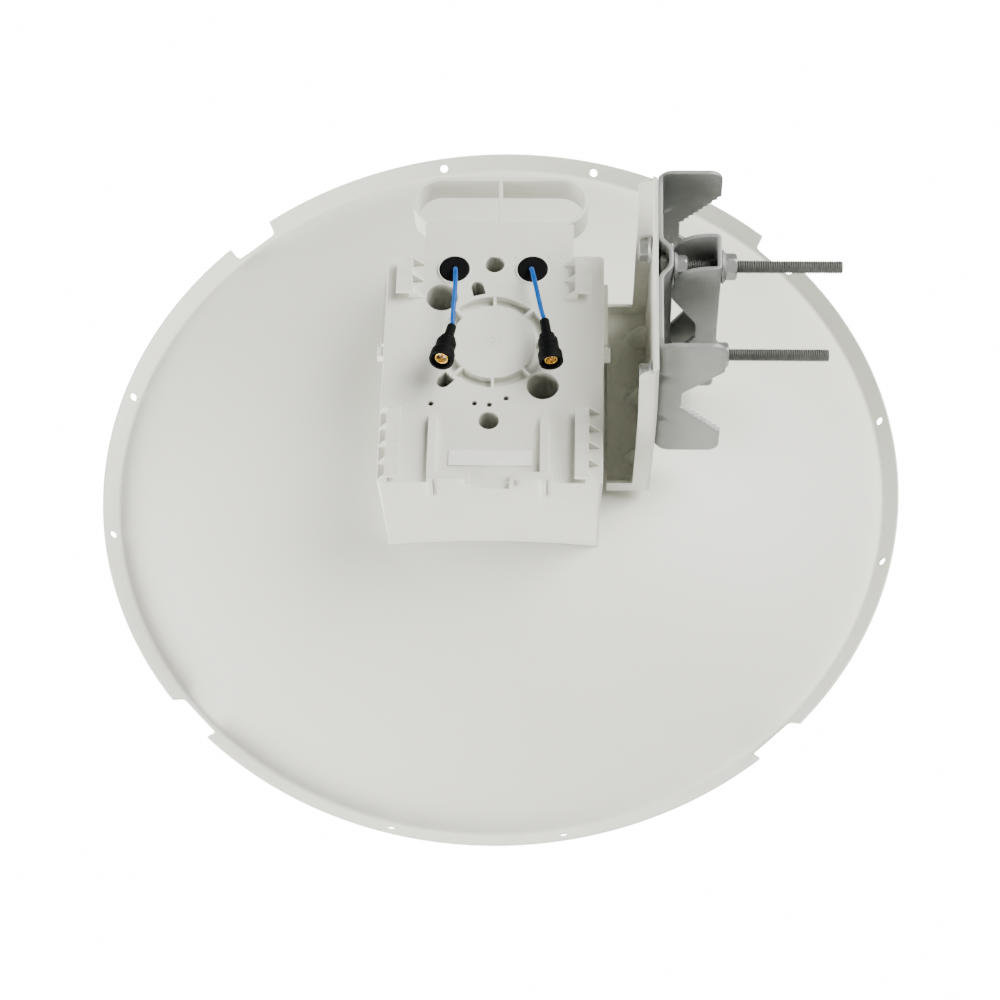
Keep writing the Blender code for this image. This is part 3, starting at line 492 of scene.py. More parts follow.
# The last corner of each outline only rounds the one before it, and is left off.
cone = rounded([(0.0, FOCUS - 0.0019), (0.0338, FOCUS - 0.0019), (0.0338, FOCUS + 0.0002),
                (0.0280, FOCUS + 0.0080), (0.0200, FOCUS + 0.0196), (0.0, FOCUS + 0.0196)],
               [0, 0.0006, 0.0006, 0.004, 0.0006, 0], 5)
piece("feed_splash_cone", [turned(cone[:-5], (0, 0, 0), ALONG_Z, 96)], feed_plastic,
      "antenna", "feed_cone", 40.0)
cap = rounded([(0.0, FOCUS - 0.0084), (0.0295, FOCUS - 0.0084), (0.0368, FOCUS - 0.0068),
               (0.0379, FOCUS - 0.0026), (0.0366, FOCUS - 0.0023), (0.0, FOCUS - 0.0023)],
              [0, 0.003, 0.0014, 0.0006, 0.0004, 0], 5)
piece("feed_end_cap", [turned(cap[:-5], (0, 0, 0), ALONG_Z, 96)], feed_plastic,
      "antenna", "feed_cap", 40.0)

# Radio housing
# A hollow moulded ASA cover that sits on the back of the dish. Its rear face has a ring
# groove crossed by eight ribs, round and slotted recesses, hooks and rails for the radio
# that snaps on. Walls are 3 mm, with a small draft towards the dish.
HALF_WIDTH, TOP, BOTTOM, GAP, EDGE_ROUND = 0.0838, 0.0942, -0.1092, 0.0003, 0.0012
# Middle, radii and depth of the ring groove, and the half width of one of its eight
# stretches in degrees at the outer and the inner side
RING, RING_OUTER, RING_INNER, RING_DEPTH = (0.0, 0.0151), 0.0410, 0.0324, 0.0072
STRETCH_OUTER, STRETCH_INNER = 21.0, 20.5
# Middle and radius of the four wells and of the four pilot holes, and a circle round each
# of the two slots
WELLS = ((-0.0009, 0.0862, 0.0074), (-0.0407, 0.0554, 0.0122), (0.0381, -0.0240, 0.0122),
         (-0.0019, -0.0550, 0.0077))
PILOT_HOLES = ((-0.0458, -0.0405, 0.0021), (-0.0130, -0.0401, 0.0021),
               (-0.0018, -0.0412, 0.0021), (0.0107, -0.0355, 0.0021))
SLOT_CIRCLES = ((-0.0125, 0.0625, 0.0076), (-0.0358, -0.0190, 0.0075))
WELL_DEPTH, PILOT_DEPTH, SLOT_DEPTH, INSIDE_DEPTH = 0.048, 0.022, 0.026, 0.052
# Depths at which the painted shade in the holes starts and is full, and how far past each hole's
# radius it reaches
PAINTED_SHADE_START, PAINTED_SHADE_FULL, PAINTED_SHADE_RIM = 0.0004, 0.004, 0.0003


def patches(tree, place, base, tint, size, detail, limits, most):
    """A base colour with patches of a tint, of a size in metres: the tint's share climbs
    from nothing to its most while the noise climbs from one limit to the other. Detail
    holds the noise's octaves and the strength of each."""
    noise = add_node(tree, "TexNoise", {"Scale": 1 / size, "Detail": detail[0],
                                        "Roughness": detail[1]}, {"Vector": place})
    share = add_node(tree, "MapRange", {"From Min": limits[0], "From Max": limits[1],
                                        "To Max": most}, {"Value": noise.outputs["Fac"]})
    mix = add_node(tree, "Mix", {7: colour(tint)}, {0: share.outputs[0], 6: base},
                   data_type="RGBA")
    return mix.outputs[2]


# ASA, injection moulded: warm grey-white, satin, with a fine spark-eroded grain, faint
# flow marks and a little handling dirt. Painted shade greys the walls of the holes with depth.
moulded_asa, tree, shader, place = start_finish("warm_white_moulded_asa", 0.5)
plain = mottle(tree, place, shader, "E0E1D8", "DADBD1", 0.035)
stained = patches(tree, place, plain, "C8C9BC", 0.022, (6.0, 0.7), (0.60, 0.80), 0.35)
flat_place = add_node(tree, "Mapping", {"Scale": (1.0, 0.0, 1.0)}, {"Vector": place})
inward = add_node(tree, "SeparateXYZ", links={0: place})
face_level = float(stand((0, 0, REAR_FACE))[1])
painted_shade = add_node(tree, "MapRange",
                {"From Min": face_level + PAINTED_SHADE_START, "From Max": face_level + PAINTED_SHADE_FULL},
                {"Value": inward.outputs["Y"]})
# The second number is the share of painted shade deep inside the holes of each kind.
in_holes = None
for circles, strength in ((WELLS, 0.44), (PILOT_HOLES, 1.0), (SLOT_CIRCLES, 0.6)):
    for x, y, radius in circles:
        axis_at = stand((x, y, REAR_FACE)) * (1, 0, 1)
        reach = add_node(tree, "VectorMath", {1: axis_at.tolist()}, {0: flat_place.outputs[0]},
                         operation="DISTANCE")
        inside = add_node(tree, "MapRange",
                          {"From Min": radius + PAINTED_SHADE_RIM, "From Max": radius + PAINTED_SHADE_RIM + 0.0001,
                           "To Min": strength, "To Max": 0.0},
                          {"Value": reach.outputs["Value"]})
        if in_holes:
            inside = add_node(tree, "Math",
                              links={0: in_holes.outputs[0], 1: inside.outputs[0]},
                              operation="MAXIMUM")
        in_holes = inside
painted_shade = add_node(tree, "Math", links={0: painted_shade.outputs[0], 1: in_holes.outputs[0]},
                operation="MULTIPLY")
# Painted shade: a dark grey mixed into the hole walls, more of it further down.
with_painted_shade = add_node(tree, "Mix", {7: colour("7A7A72")}, {0: painted_shade.outputs[0], 6: stained},
                 data_type="RGBA")
tree.links.new(with_painted_shade.outputs[2], shader.inputs["Base Color"])
grain(tree, place, shader, 0.0006, 0.00003, roughness=(0.46, 0.58))


def outline_normals(outline):
    """Outward unit normals of an outline that runs anticlockwise: each is the step from the
    point before to the point after, turned clockwise."""
    step = np.roll(outline, -1, axis=0) - np.roll(outline, 1, axis=0)
    normal = np.c_[step[:, 1], -step[:, 0]]
    return normal / np.linalg.norm(normal, axis=1, keepdims=True)


def spaced(outline, step):
    """The same closed outline with more points along its long sides."""
    closed = np.vstack([outline, outline[:1]])
    length = run_along(closed)
    extra = np.arange(0, length[-1], step)
    at = np.unique(np.round(np.concatenate([length[:-1], extra]), 7))
    keep = np.concatenate([[True], np.diff(at) > 1e-5])
    return read_off(closed, length, at[keep])


def ring_points(centre, radius, start, stop, count):
    """Points of an arc, angles in degrees."""
    turn = np.radians(np.linspace(start, stop, count))
    return np.c_[centre[0] + radius * np.cos(turn), centre[1] + radius * np.sin(turn)]


def well(outline, depth, lip):
    """Wall and floor of a blind recess: the outline is spread by a quarter round at the
    face, drops to the depth and closes on its own middle. Its first ring is the rim."""
    normal = outline_normals(outline)
    turn = np.radians([0, 30, 60, 90])
    spread = np.concatenate([lip * (1 - np.sin(turn)), [0, -0.0004]])
    drop = np.concatenate([lip * (1 - np.cos(turn)), [depth - 0.0004, depth]])
    rings = outline + spread[:, None, None] * normal
    level = np.broadcast_to(REAR_FACE - drop[:, None, None], rings.shape[:2] + (1,))
    points, quads = net(np.concatenate([rings, level], axis=-1), around=True)
    count = len(outline)
    return rings[0], (points, quads + [np.arange(count)[None] + len(points) - count])


# Rings run over the rounded edge of the face, down the walls to the dish, in across their
# foot and up to the flat inside. The side walls have the draft.
corner = [(HALF_WIDTH, TOP), (-HALF_WIDTH, TOP), (-HALF_WIDTH, BOTTOM), (HALF_WIDTH, BOTTOM)]
outer = spaced(rounded(corner, 0.004, 8), 0.003)
normal = outline_normals(outer)
turn = np.radians([0, 22, 45, 68, 90])
spread = np.concatenate([-EDGE_ROUND * (1 - np.sin(turn)), [-0.0034, -0.0062, -0.0046]])
rings = outer + spread[:, None, None] * normal
rings[5, :, 1] = outer[:, 1]
level = np.empty(rings.shape[:2])
level[:5] = (REAR_FACE - EDGE_ROUND * (1 - np.cos(turn)))[:, None]
level[5:7] = dish_back(rings[5:7, :, 0], rings[5:7, :, 1]) + GAP
level[7] = REAR_FACE - INSIDE_DEPTH
points, quads = net(np.concatenate([rings, level[..., None]], axis=-1), around=True)
shell_parts = [(points, quads + [np.arange(len(outer))[None] + 7 * len(outer)])]
loops = [rings[0]]
recesses = []
for middle in np.arange(22.5, 360, 45):
    sector = np.vstack([ring_points(RING, RING_OUTER, middle - STRETCH_OUTER,
                                    middle + STRETCH_OUTER, 25),
                        ring_points(RING, RING_INNER, middle + STRETCH_INNER,
                                    middle - STRETCH_INNER, 25)])
    recesses.append((sector, RING_DEPTH, 0.0003))
for x, y, radius in WELLS:
    recesses.append((ring_points((x, y), radius, 0, 352.5, 48), WELL_DEPTH, 0.0006))
for x, y, radius in PILOT_HOLES:
    recesses.append((ring_points((x, y), radius, 0, 345, 24), PILOT_DEPTH, 0.0003))
# Each slot is a half round with a blunt foot.
for middle, radius, start, foot in (
        ((-0.0138, 0.0653), 0.0049, 15, [(-0.0165, 0.0564), (-0.0070, 0.0589)]),
        ((-0.0372, -0.0209), 0.0052, 135, [(-0.0283, -0.0194), (-0.0357, -0.0120)])):
    half_round = ring_points(middle, radius, start, start + 180, 21)
    recesses.append((np.vstack([half_round, foot]), SLOT_DEPTH, 0.0005))
for outline, depth, lip in recesses:
    rim, part = well(outline, depth, lip)
    loops.append(rim)
    shell_parts.append(part)
# The flat face between the outer edge and the rims of the recesses is filled in one go.
starts = np.cumsum([0] + [len(loop) for loop in loops])
edges = np.concatenate([np.c_[np.arange(len(loop)), np.roll(np.arange(len(loop)), -1)] + start
                        for loop, start in zip(loops, starts)])
flat = bpy.data.meshes.new("face")
flat.from_pydata(np.insert(np.concatenate(loops), 2, REAR_FACE, axis=1), edges, [])
work = bmesh.new()
work.from_mesh(flat)
bmesh.ops.triangle_fill(work, use_beauty=True, use_dissolve=False, edges=work.edges,
                        normal=(0, 0, 1))
work.to_mesh(flat)
work.free()
face_points = np.empty(len(flat.vertices) * 3)
flat.vertices.foreach_get("co", face_points)
corners = np.empty(len(flat.loops), dtype=int)
flat.loops.foreach_get("vertex_index", corners)
shell_parts.append((face_points.reshape(-1, 3), [corners.reshape(-1, 3)]))
bpy.data.meshes.remove(flat)
# The moulding gate leaves a small ring and a pip in the middle of the disc.
gate = (-0.0012, 0.0154, REAR_FACE)
gate_ring = rounded([(0.0027, -0.0002), (0.0033, 0.0008), (0.0039, -0.0002)], 0.0002, 3)
gate_pip = [(0, 0.0006), (0.0008, 0.0004), (0.0013, -0.0002)]
shell_parts.append(turned(gate_ring, gate, ALONG_Z, 40, True))
shell_parts.append(turned(gate_pip, gate, ALONG_Z, 16))
cover = piece("radio_cover", shell_parts, moulded_asa, "antenna", "housing", 40.0)
weights = cover.modifiers.new("Flat_faces", "WEIGHTED_NORMAL")
weights.keep_sharp = True


def block(x, y, z):
    """A block between three pairs of limits."""
    return drawn([(x[0], y[0]), (x[1], y[0]), (x[1], y[1]), (x[0], y[1])], z[0], z[1])


def soft_edges(target, width, angle=40.0):
    """Round every edge that is steeper than the angle."""
    bevel = target.modifiers.new("Soft_edges", "BEVEL")
    bevel.width = width
    bevel.segments = 2
    bevel.limit_method = "ANGLE"
    bevel.angle_limit = math.radians(angle)
    bevel.harden_normals = True


# Fittings reach 1 mm into the face, and the stops on the bottom edge reach 3.4 mm.
ROOT, STOP_ROOT, RIB_THICK = REAR_FACE - 0.001, REAR_FACE - 0.0034, 0.0015


def hook(edge, wall_at, foot, low, high, ribs):
    """A hook: a wall with a slab that overhangs to its edge, and ribs that slope from the
    slab down to their foot on the face and stand a little proud of the slab."""
    top = REAR_FACE + 0.0087
    step = math.copysign(0.0022, wall_at - edge)
    slab = [(wall_at, ROOT), (wall_at - step, ROOT), (wall_at - step, top - 0.0026),
            (edge, top - 0.0026), (edge, top), (wall_at, top)]
    parts = [drawn(slab, low + 0.0001, high - 0.0001, "y")]
    for start in np.linspace(low + 0.0001, high - RIB_THICK - 0.0001, ribs):
        rib = [(wall_at - step / 3, ROOT), (foot, ROOT), (foot, REAR_FACE + 0.0007),
               (wall_at + step * 0.1, top + 0.0006), (edge + step * 0.02, top + 0.0007),
               (edge + step * 0.02, top - 0.0005), (wall_at - step / 3, top - 0.0007)]
        parts.append(drawn(rib, start, start + RIB_THICK, "y"))
    return parts


fittings = []
for side in (-1, 1):
    # The upper hooks open away from the middle, and the lower ones towards it.
    fittings += hook(side * 0.0747 - 0.0010, side * 0.0626 - 0.0010, side * 0.0541 - 0.0010,
                     0.0545, 0.0862, 3)
    fittings += hook(side * 0.0652 - 0.0022, side * 0.0755 - 0.0022, side * 0.0825 - 0.0012,
                     -0.1090, -0.0480, 5)
    middle = side * 0.0419 - 0.0018
    rail = [(middle - 0.0030, -0.1028), (middle + 0.0030, -0.1028), (middle + 0.0030, -0.058),
            (middle + 0.0018, -0.0535), (middle, -0.0507), (middle - 0.0018, -0.0535),
            (middle - 0.0030, -0.058)]
    bar = block(sorted((side * 0.0170, side * 0.0463)), (BOTTOM + 0.0001, -0.1026),
                (ROOT, REAR_FACE + 0.0056))
    post = block((middle - 0.0019, middle + 0.0019), (BOTTOM - 0.0024, -0.1078),
                 (REAR_FACE - 0.0178, REAR_FACE + 0.0055))
    end_stop = block(sorted((side * 0.0150, side * 0.0182)), (BOTTOM - 0.0040, -0.1040),
                     (STOP_ROOT, REAR_FACE + 0.0050))
    lug = block(sorted((side * 0.0825, side * 0.0889)), (0.0031, 0.0119),
                (REAR_FACE - 0.0109, REAR_FACE - 0.0031))
    blade = [(0.0202, REAR_FACE - 0.0198), (0.0798, REAR_FACE - 0.0198),
             (0.0760, REAR_FACE - 0.0122), (0.0202, REAR_FACE - 0.0122)]
    fittings += [drawn(rail, ROOT, REAR_FACE + 0.0058), bar, post, end_stop, lug,
                 drawn(blade, *sorted((side * 0.0825, side * 0.0869)), "x")]
fittings.append(block((-0.0166, 0.0166), (BOTTOM - 0.0044, BOTTOM + 0.001),
                      (STOP_ROOT, REAR_FACE - 0.0006)))
# Four small ticks stand on the right of the top edge.
for x in (0.0160, 0.0315, 0.0416, 0.0502):
    fittings.append(block((x - 0.0005, x + 0.0005), (TOP - 0.0020, TOP + 0.0022),
                          (REAR_FACE - 0.0040, REAR_FACE + 0.0009)))
fitted = piece("cover_hooks_and_rails", fittings, moulded_asa, "antenna")
soft_edges(fitted, 0.0003)
rim = rounded([(0.0119, -0.001), (0.0119, 0.0012), (0.0130, 0.0012), (0.0131, -0.001)],
              0.0004, 4)
rims = [turned(rim, seat, ALONG_Z, 72, True) for seat in GROMMET_SEATS.values()]
piece("grommet_seats", rims, moulded_asa, "antenna", None, 50.0)

# Label
# A blank strip of white polyester film, stuck on the rear face between the rails.
# It is smooth and a little whiter than the moulding, with a faint paper-like tooth.
label_film, tree, shader, place = start_finish("white_polyester_film", 0.38)
mottle(tree, place, shader, "F4F4F3", "EEEEEC", 0.012)
grain(tree, place, shader, 0.0009, 0.00001, roughness=(0.34, 0.42))
for slot_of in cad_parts["label_plate"].material_slots:
    slot_of.material = label_film

# Carrying handle
# A moulded loop with a middle rib on a flat tongue that slides into the top of the cover.
# It is the same plastic as the cover, 3 mm thick, with rounded edges.


def carried(path, section):
    """A closed section of (spread, height) pairs carried round a closed path: each point is
    the path's point plus spread times its outward normal, at the height."""
    normal = outline_normals(path)
    spread, height = np.asarray(section).T
    flat = path[:, None] + spread[None, :, None] * normal[:, None]
    level = np.broadcast_to(height[None, :, None], flat.shape[:2] + (1,))
    return net(np.concatenate([flat, level], axis=-1), around=True, along=True)


HANDLE_RIGHT, HANDLE_LEFT, HANDLE_HEIGHT, HANDLE_BEND = 0.0480, -0.0446, 0.153, 0.0215
loop_path = np.vstack([ring_points((HANDLE_RIGHT, HANDLE_HEIGHT), HANDLE_BEND, -90, 90, 49),
                       ring_points((HANDLE_LEFT, HANDLE_HEIGHT), HANDLE_BEND, 90, 270, 49)])
section = rounded([(-0.0015, 0.1411), (0.0015, 0.1411), (0.0015, 0.1649), (-0.0015, 0.1649)],
                  0.0007, 5)
piece("handle_loop", [carried(loop_path, section)], moulded_asa, "antenna", "handle", 40.0)
middle_rib = block((0.0004, 0.0030), (0.1318, 0.1742), (0.1415, 0.1645))
plate = rounded([(-0.0567, TOP + GAP), (0.0601, TOP + GAP), (0.0597, 0.1312),
                 (-0.0563, 0.1312)], 0.0012, 4)
tongue = [middle_rib, drawn(plate, 0.1620, 0.1648)]
for x in (-0.0548, 0.0017, 0.0582):
    tongue.append(block((x - 0.00125, x + 0.00125), (TOP + GAP, 0.1314), (0.1418, 0.1634)))
soft_edges(piece("handle_tongue", tongue, moulded_asa, "antenna"), 0.0004)

# Tilt bracket
# A tray folded from 2.5 mm steel: a floor behind the housing, a side plate, and lips along
# both edges, with three darts pressed into the fold. It is powder coated the dish's white.
OUTER, FLOOR, LOW, HIGH, TRAY_TOP = 0.1233, 0.0896, -0.068, 0.0972, 0.259
FLOOR_START, LIP, STEEL, FOLD_BEND = 0.087, 0.014, 0.0025, 0.0035
# The pivot hole's middle in y and z, and the curved slot round it: its reach, the degrees
# that it swings to each side, and half its width
PIVOT, HOLE_RADIUS = (-0.017, 0.179), 0.0053
SLOT_REACH, SLOT_SWING, SLOT_HALF = 0.114, 12.4, 0.0056
DART_MIDDLES, DART_REACH, DART_HALF = (-0.040, 0.0155, 0.0700), 0.0185, 0.0085

# Polyester powder coat on folded steel: warm white and satin, with fine orange peel.
tray_coat, tree, shader, place = start_finish("warm_white_powder_coat", 0.42)
mottle(tree, place, shader, "DCDDD3", "D6D7CC", 0.03)
grain(tree, place, shader, 0.0014, 0.00004, roughness=(0.36, 0.5))


def lean(z):
    """How far the plate leans in towards the fold: 3 mm at the floor, falling to nothing
    at a height of 0.2 with the power 1.2."""
    return 0.003 * np.clip((0.2 - z) / 0.1075, 0, 1) ** 1.2


def tray_point(row, depth):
    """Place on the fold at a depth inside its outer surface. Rows 0 to 1 run along the
    floor, 1 to 2 round the fold and 2 to 3 up the plate."""
    bend = np.maximum(FOLD_BEND - depth, 0.0003)
    turn_at = OUTER - depth - bend
    rise = FLOOR + depth + bend
    on_floor, in_bend, on_plate = (np.clip(row - start, 0, 1) for start in range(3))
    phi = -np.pi / 2 * (1 - in_bend)
    x = FLOOR_START + on_floor * (turn_at - FLOOR_START)
    x = np.where(row <= 1, x, x + bend * np.cos(phi))
    z = rise + bend * np.sin(phi) + on_plate * (TRAY_TOP - rise)
    return x - on_floor * lean(z), z


# Rows lie close in the fold and where the lips run out at the top.
rows = np.concatenate([np.linspace(0, 1, 6), np.linspace(1, 2, 8)[1:],
                       np.linspace(2, 2.88, 30)[1:], np.linspace(2.88, 2.9815, 16)[1:],
                       [2.9850, 2.9985, 3.0]])[:, None]
height = FLOOR + FOLD_BEND + np.clip(rows - 2, 0, 1) * (TRAY_TOP - FLOOR - FOLD_BEND)
over = np.clip((height - (TRAY_TOP - 0.013)) / 0.010, 0, 1)
lip = LIP - 0.010 * (1 - np.sqrt(np.maximum(0, 1 - over**2)))
lip = np.where(height > TRAY_TOP - 0.0027, 0.0037, lip)
quarter = np.linspace(0, np.pi / 2, 6)[None]
# The side plate is wider than the floor: its far edge swings out by 11.3 mm above the fold,
# with the cubic 3t^2 - 2t^3, and its near edge leans in by 3.5 mm.
swing = np.clip((height - 0.1036) / 0.055, 0, 1)
high = HIGH + 0.0113 * (3 * swing**2 - 2 * swing**3)
low = LOW + 0.0035 * np.clip((height - FLOOR) / (TRAY_TOP - FLOOR), 0, 1)


def across_tray(inset, bend):
    """Depth and height of a U from lip to lip: lip, quarter bend, plate, bend and lip, on
    the surface that lies inset inside the outer one."""
    ones = np.ones_like(rows)
    straight = inset + bend + (lip - inset - bend) * np.array([[1.0, 0.66, 0.33]])
    curve = (inset + bend - bend * np.sin(quarter)) * ones
    up = low + inset + bend - bend * np.cos(quarter)
    depth = np.hstack([straight, curve])
    y = np.hstack([(low + inset) * np.ones_like(straight), up])
    depth = np.hstack([depth, inset * ones, depth[:, ::-1]])
    y = np.hstack([y, (low + high) / 2, low + high - y[:, ::-1]])
    return depth, y


def folded(outside, inside):
    """A closed sheet between two grids of the same shape, with strips along its edges."""
    rows_in, columns = outside.shape[:2]
    points, quads = net(np.concatenate([outside, inside[:, ::-1]], axis=1), around=True)
    i = np.arange(columns - 1)
    strip = np.stack([i, i + 1, 2 * columns - 2 - i, 2 * columns - 1 - i], axis=-1)
    return points, quads + [strip, strip + (rows_in - 1) * 2 * columns]


sides = []
for inset, bend in ((0.0, FOLD_BEND), (STEEL, FOLD_BEND - STEEL)):
    depth, y = across_tray(inset, bend)
    x, z = tray_point(np.broadcast_to(rows, depth.shape), depth)
    sides.append(np.stack([x, y, z], axis=-1))
tray = piece("tilt_tray", [folded(*sides)], tray_coat, "antenna", "tilt_bracket", 35.0)
curved_slot = []
for side, start in ((1, SLOT_SWING), (-1, 180 - SLOT_SWING)):
    limit = side * SLOT_SWING
    curved_slot.append(ring_points(PIVOT, SLOT_REACH + side * SLOT_HALF, -limit, limit, 25))
    end_at = ring_points(PIVOT, SLOT_REACH, limit, limit, 1)[0]
    curved_slot.append(ring_points(end_at, SLOT_HALF, start, start + 180, 13)[1:-1])
pivot_hole = ring_points(PIVOT, HOLE_RADIUS, 0, 345, 24)
cut(tray, [drawn(outline, OUTER - 0.009, OUTER + 0.009, "x")
           for outline in (np.vstack(curved_slot), pivot_hole)])
soft_edges(tray, 0.0005, 50.0)
# A dart bulges across the fold: straight lines from floor to plate that reach 18.5 mm out
# at its middle, and less to both sides by the root of one minus the distance squared.
darts = []
for middle in DART_MIDDLES:
    across = np.sin(np.linspace(-np.pi / 2, np.pi / 2, 41))[:, None]
    share = np.linspace(0, 1, 13)[None]
    wave = np.sqrt(np.maximum(1 - across**2, 0))
    bulge = 0.0022 * np.sin(np.pi * share) * wave
    z = FLOOR + STEEL - 0.0003 + DART_REACH * wave * share + bulge
    x = OUTER - STEEL + 0.0003 - lean(z) - DART_REACH * wave * (1 - share) - bulge
    y = middle + DART_HALF * across
    darts.append(net(np.stack([x, np.broadcast_to(y, x.shape), z], axis=-1)))
piece("tray_darts", darts, tray_coat, "antenna", None, 60.0)

# Pole bracket
# A channel pressed from 3.5 mm steel, with a cross rib in its web. Its two flanges are
# notched in a V, one leg of each toothed to bite the pole, and darts stiffen the folds.
PLATE_FACE, RIB_RISE, THICK, TIP = 0.1236, 0.0077, 0.0035, 0.1733
MIDDLE_Y, MIDDLE_Z, HALF_LONG, HALF_HIGH = 0.040, 0.179, 0.079, 0.0735
# A pressing's rounded edge, and the notch's root, half width there, reach of its toothed and
# plain leg from the middle, teeth and outer corner
PRESS_EDGE = 0.0006
NOTCH_ROOT, NOTCH_HALF, TOOTHED_LEG, PLAIN_LEG = 0.1419, 0.0088, 0.0445, 0.0395
TEETH, OUTER_CORNER = 9, 0.010
# Middles of the darts: along the pressing from its tip to the fold, and off the middle
FOLD_AT, DART_AT = 0.0475, 0.030

# Grey polyester powder coat over zinc: cool mid grey, satin, with orange peel and a few
# paler scuffs.
grey_coat, tree, shader, place = start_finish("mid_grey_powder_coat", 0.4)
plain = mottle(tree, place, shader, "939694", "898C8A", 0.02)
scuffed = patches(tree, place, plain, "C2C4C2", 0.004, (8.0, 0.8), (0.66, 0.78), 0.5)
tree.links.new(scuffed, shader.inputs["Base Color"])
grain(tree, place, shader, 0.0013, 0.00005, roughness=(0.34, 0.5))
shader.inputs["Metallic"].default_value = 0.15


def pressed(path, hand, thickness, levels, first, last, web, place_of, dent=None):
    """A sheet pressed to a path. At each level it runs along the path's outer line from
    first to last, and its other side lies a thickness away along the normal, to the hand
    given. Edges are rounded off. Dent moves both sides along the normal."""
    edge, t = PRESS_EDGE, thickness
    length = run_along(path)
    tangent = np.gradient(path, length, axis=0)
    tangent /= np.linalg.norm(tangent, axis=1, keepdims=True)
    normals = hand * np.c_[-tangent[:, 1], tangent[:, 0]]
    total = length[-1]
    shrink = np.ones(len(levels))
    shrink[[0, -1]], shrink[[1, -2]] = 0.0, 0.7
    pull = edge * (1 - shrink)[:, None]
    first, last = first[:, None] + pull, total - last[:, None] - pull
    ramp = np.linspace(0, 1, 9)[None, 1:]
    low = first + edge + (web[0] - first - edge) * ramp
    high = (last - edge) + (web[1] - last + edge) * ramp
    inner_run = np.broadcast_to(np.linspace(*web, 91)[None, 1:-1], (len(levels), 89))
    run = np.hstack([first + edge, low, inner_run, high[:, ::-1], last - edge])
    away = np.array([[0.29 * edge, 0.0, 0.0, 0.29 * edge]])
    tip_up = np.array([[0.29 * edge, edge, t - edge, t - 0.29 * edge]])
    s = np.hstack([run, last - away, run[:, ::-1], first + away[:, ::-1]])
    flat = np.zeros_like(run)
    h = np.hstack([flat, tip_up + 0 * last, flat + t, tip_up[:, ::-1] + 0 * first])
    h = t / 2 + (h - t / 2) * (1 - 2 * pull / t)
    if dent is not None:
        h = h + dent(s, levels[:, None])
    flat_points = read_off(path, length, s) + h[..., None] * read_off(normals, length, s)
    points = place_of(flat_points[..., 0], flat_points[..., 1],
                      np.broadcast_to(levels[:, None], s.shape))
    made, quads = net(points, around=True)
    columns = run.shape[1]
    loop = s.shape[1]
    i = np.arange(columns - 1)
    across = 2 * columns + 3 - i
    strip = np.stack([i, i + 1, across - 1, across], axis=-1)
    tips = np.array([np.arange(columns - 1, columns + 5), np.arange(loop - 5, loop + 1) % loop])
    caps = [strip, strip + (len(levels) - 1) * loop, tips, tips + (len(levels) - 1) * loop]
    return made, quads + caps


def pressing_path(corners, radii):
    """The rounded outer line of a pressing, without doubled points, and its length."""
    path = rounded(corners, radii, 9)
    apart = np.linalg.norm(np.diff(path, axis=0), axis=1) > 1e-7
    path = path[np.concatenate([[True], apart])]
    return path, run_along(path)[-1]


def pressing_levels(half):
    """Levels across a pressing from minus half to half: even ones, and a close one inside
    each edge for the rounding."""
    inside = np.linspace(-half + PRESS_EDGE, half - PRESS_EDGE, 421)
    return np.concatenate([[-half, -half + 0.0002], inside, [half - 0.0002, half]])


channel_path, channel_length = pressing_path(
    [(TIP, -HALF_LONG), (PLATE_FACE, -HALF_LONG), (PLATE_FACE, -0.0155),
     (PLATE_FACE + RIB_RISE, -0.0078), (PLATE_FACE + RIB_RISE, 0.0078), (PLATE_FACE, 0.0155),
     (PLATE_FACE, HALF_LONG), (TIP, HALF_LONG)],
    [0, 0.0058, 0.0052, 0.0046, 0.0046, 0.0052, 0.0058, 0])
levels = pressing_levels(HALF_HIGH)


def notch_tip(level, toothed):
    """How far the flange's tip draws back: a flat root, two straight legs, a rounded outer
    corner, and nine rounded teeth along the toothed leg."""
    d = np.abs(level)
    reach = np.where(level * toothed > 0, TOOTHED_LEG, PLAIN_LEG)
    leg = np.clip((d - NOTCH_HALF) / (reach - NOTCH_HALF), 0, 1)
    back = (TIP - NOTCH_ROOT) * (1 - leg) + 0.0006 * np.exp(-((leg - 1) / 0.04) ** 2)
    over = np.clip((d - (HALF_HIGH - OUTER_CORNER)) / OUTER_CORNER, 0, 1)
    back = back + OUTER_CORNER * (1 - np.sqrt(np.maximum(0, 1 - over**2)))
    on_leg = (level * toothed > 0) & (leg > 0) & (leg < 1)
    tooth = 0.0027 * np.abs(np.sin(np.pi * TEETH * leg))
    return back + np.where(on_leg, tooth, 0.0)


def fold_darts(s, level):
    """Darts pressed into both folds: a peak over the fold, 7 mm long, at 30 mm to each side."""
    fold = np.minimum(np.abs(s - FOLD_AT), np.abs(channel_length - s - FOLD_AT))
    along = np.abs(np.abs(level) - DART_AT)
    return 0.0040 * np.exp(-(fold / 0.0050)**2 - (along / 0.0040)**2)


def from_middle(x, y, level):
    """Place with its y and its level counted from the middle of the bracket."""
    return np.stack([x, MIDDLE_Y + y, MIDDLE_Z + level], axis=-1)


def channel_point(x, y, level):
    """Place on the channel. Its ends draw in by up to 5 mm round the corner of each fold,
    with the square of the distance from it in a falling exponential."""
    near = np.exp(-((x - PLATE_FACE)**2 + (np.abs(y) - HALF_LONG)**2) / 0.0055**2)
    return from_middle(x, y, level * (1 - 0.0050 * near / HALF_HIGH))


channel = pressed(channel_path, -1, THICK, levels, notch_tip(levels, -1),
                  notch_tip(levels, 1), (0.0430, channel_length - 0.0430), channel_point,
                  fold_darts)
piece("pole_channel", [channel], grey_coat, "pole_mount", "pole_bracket", 38.0)

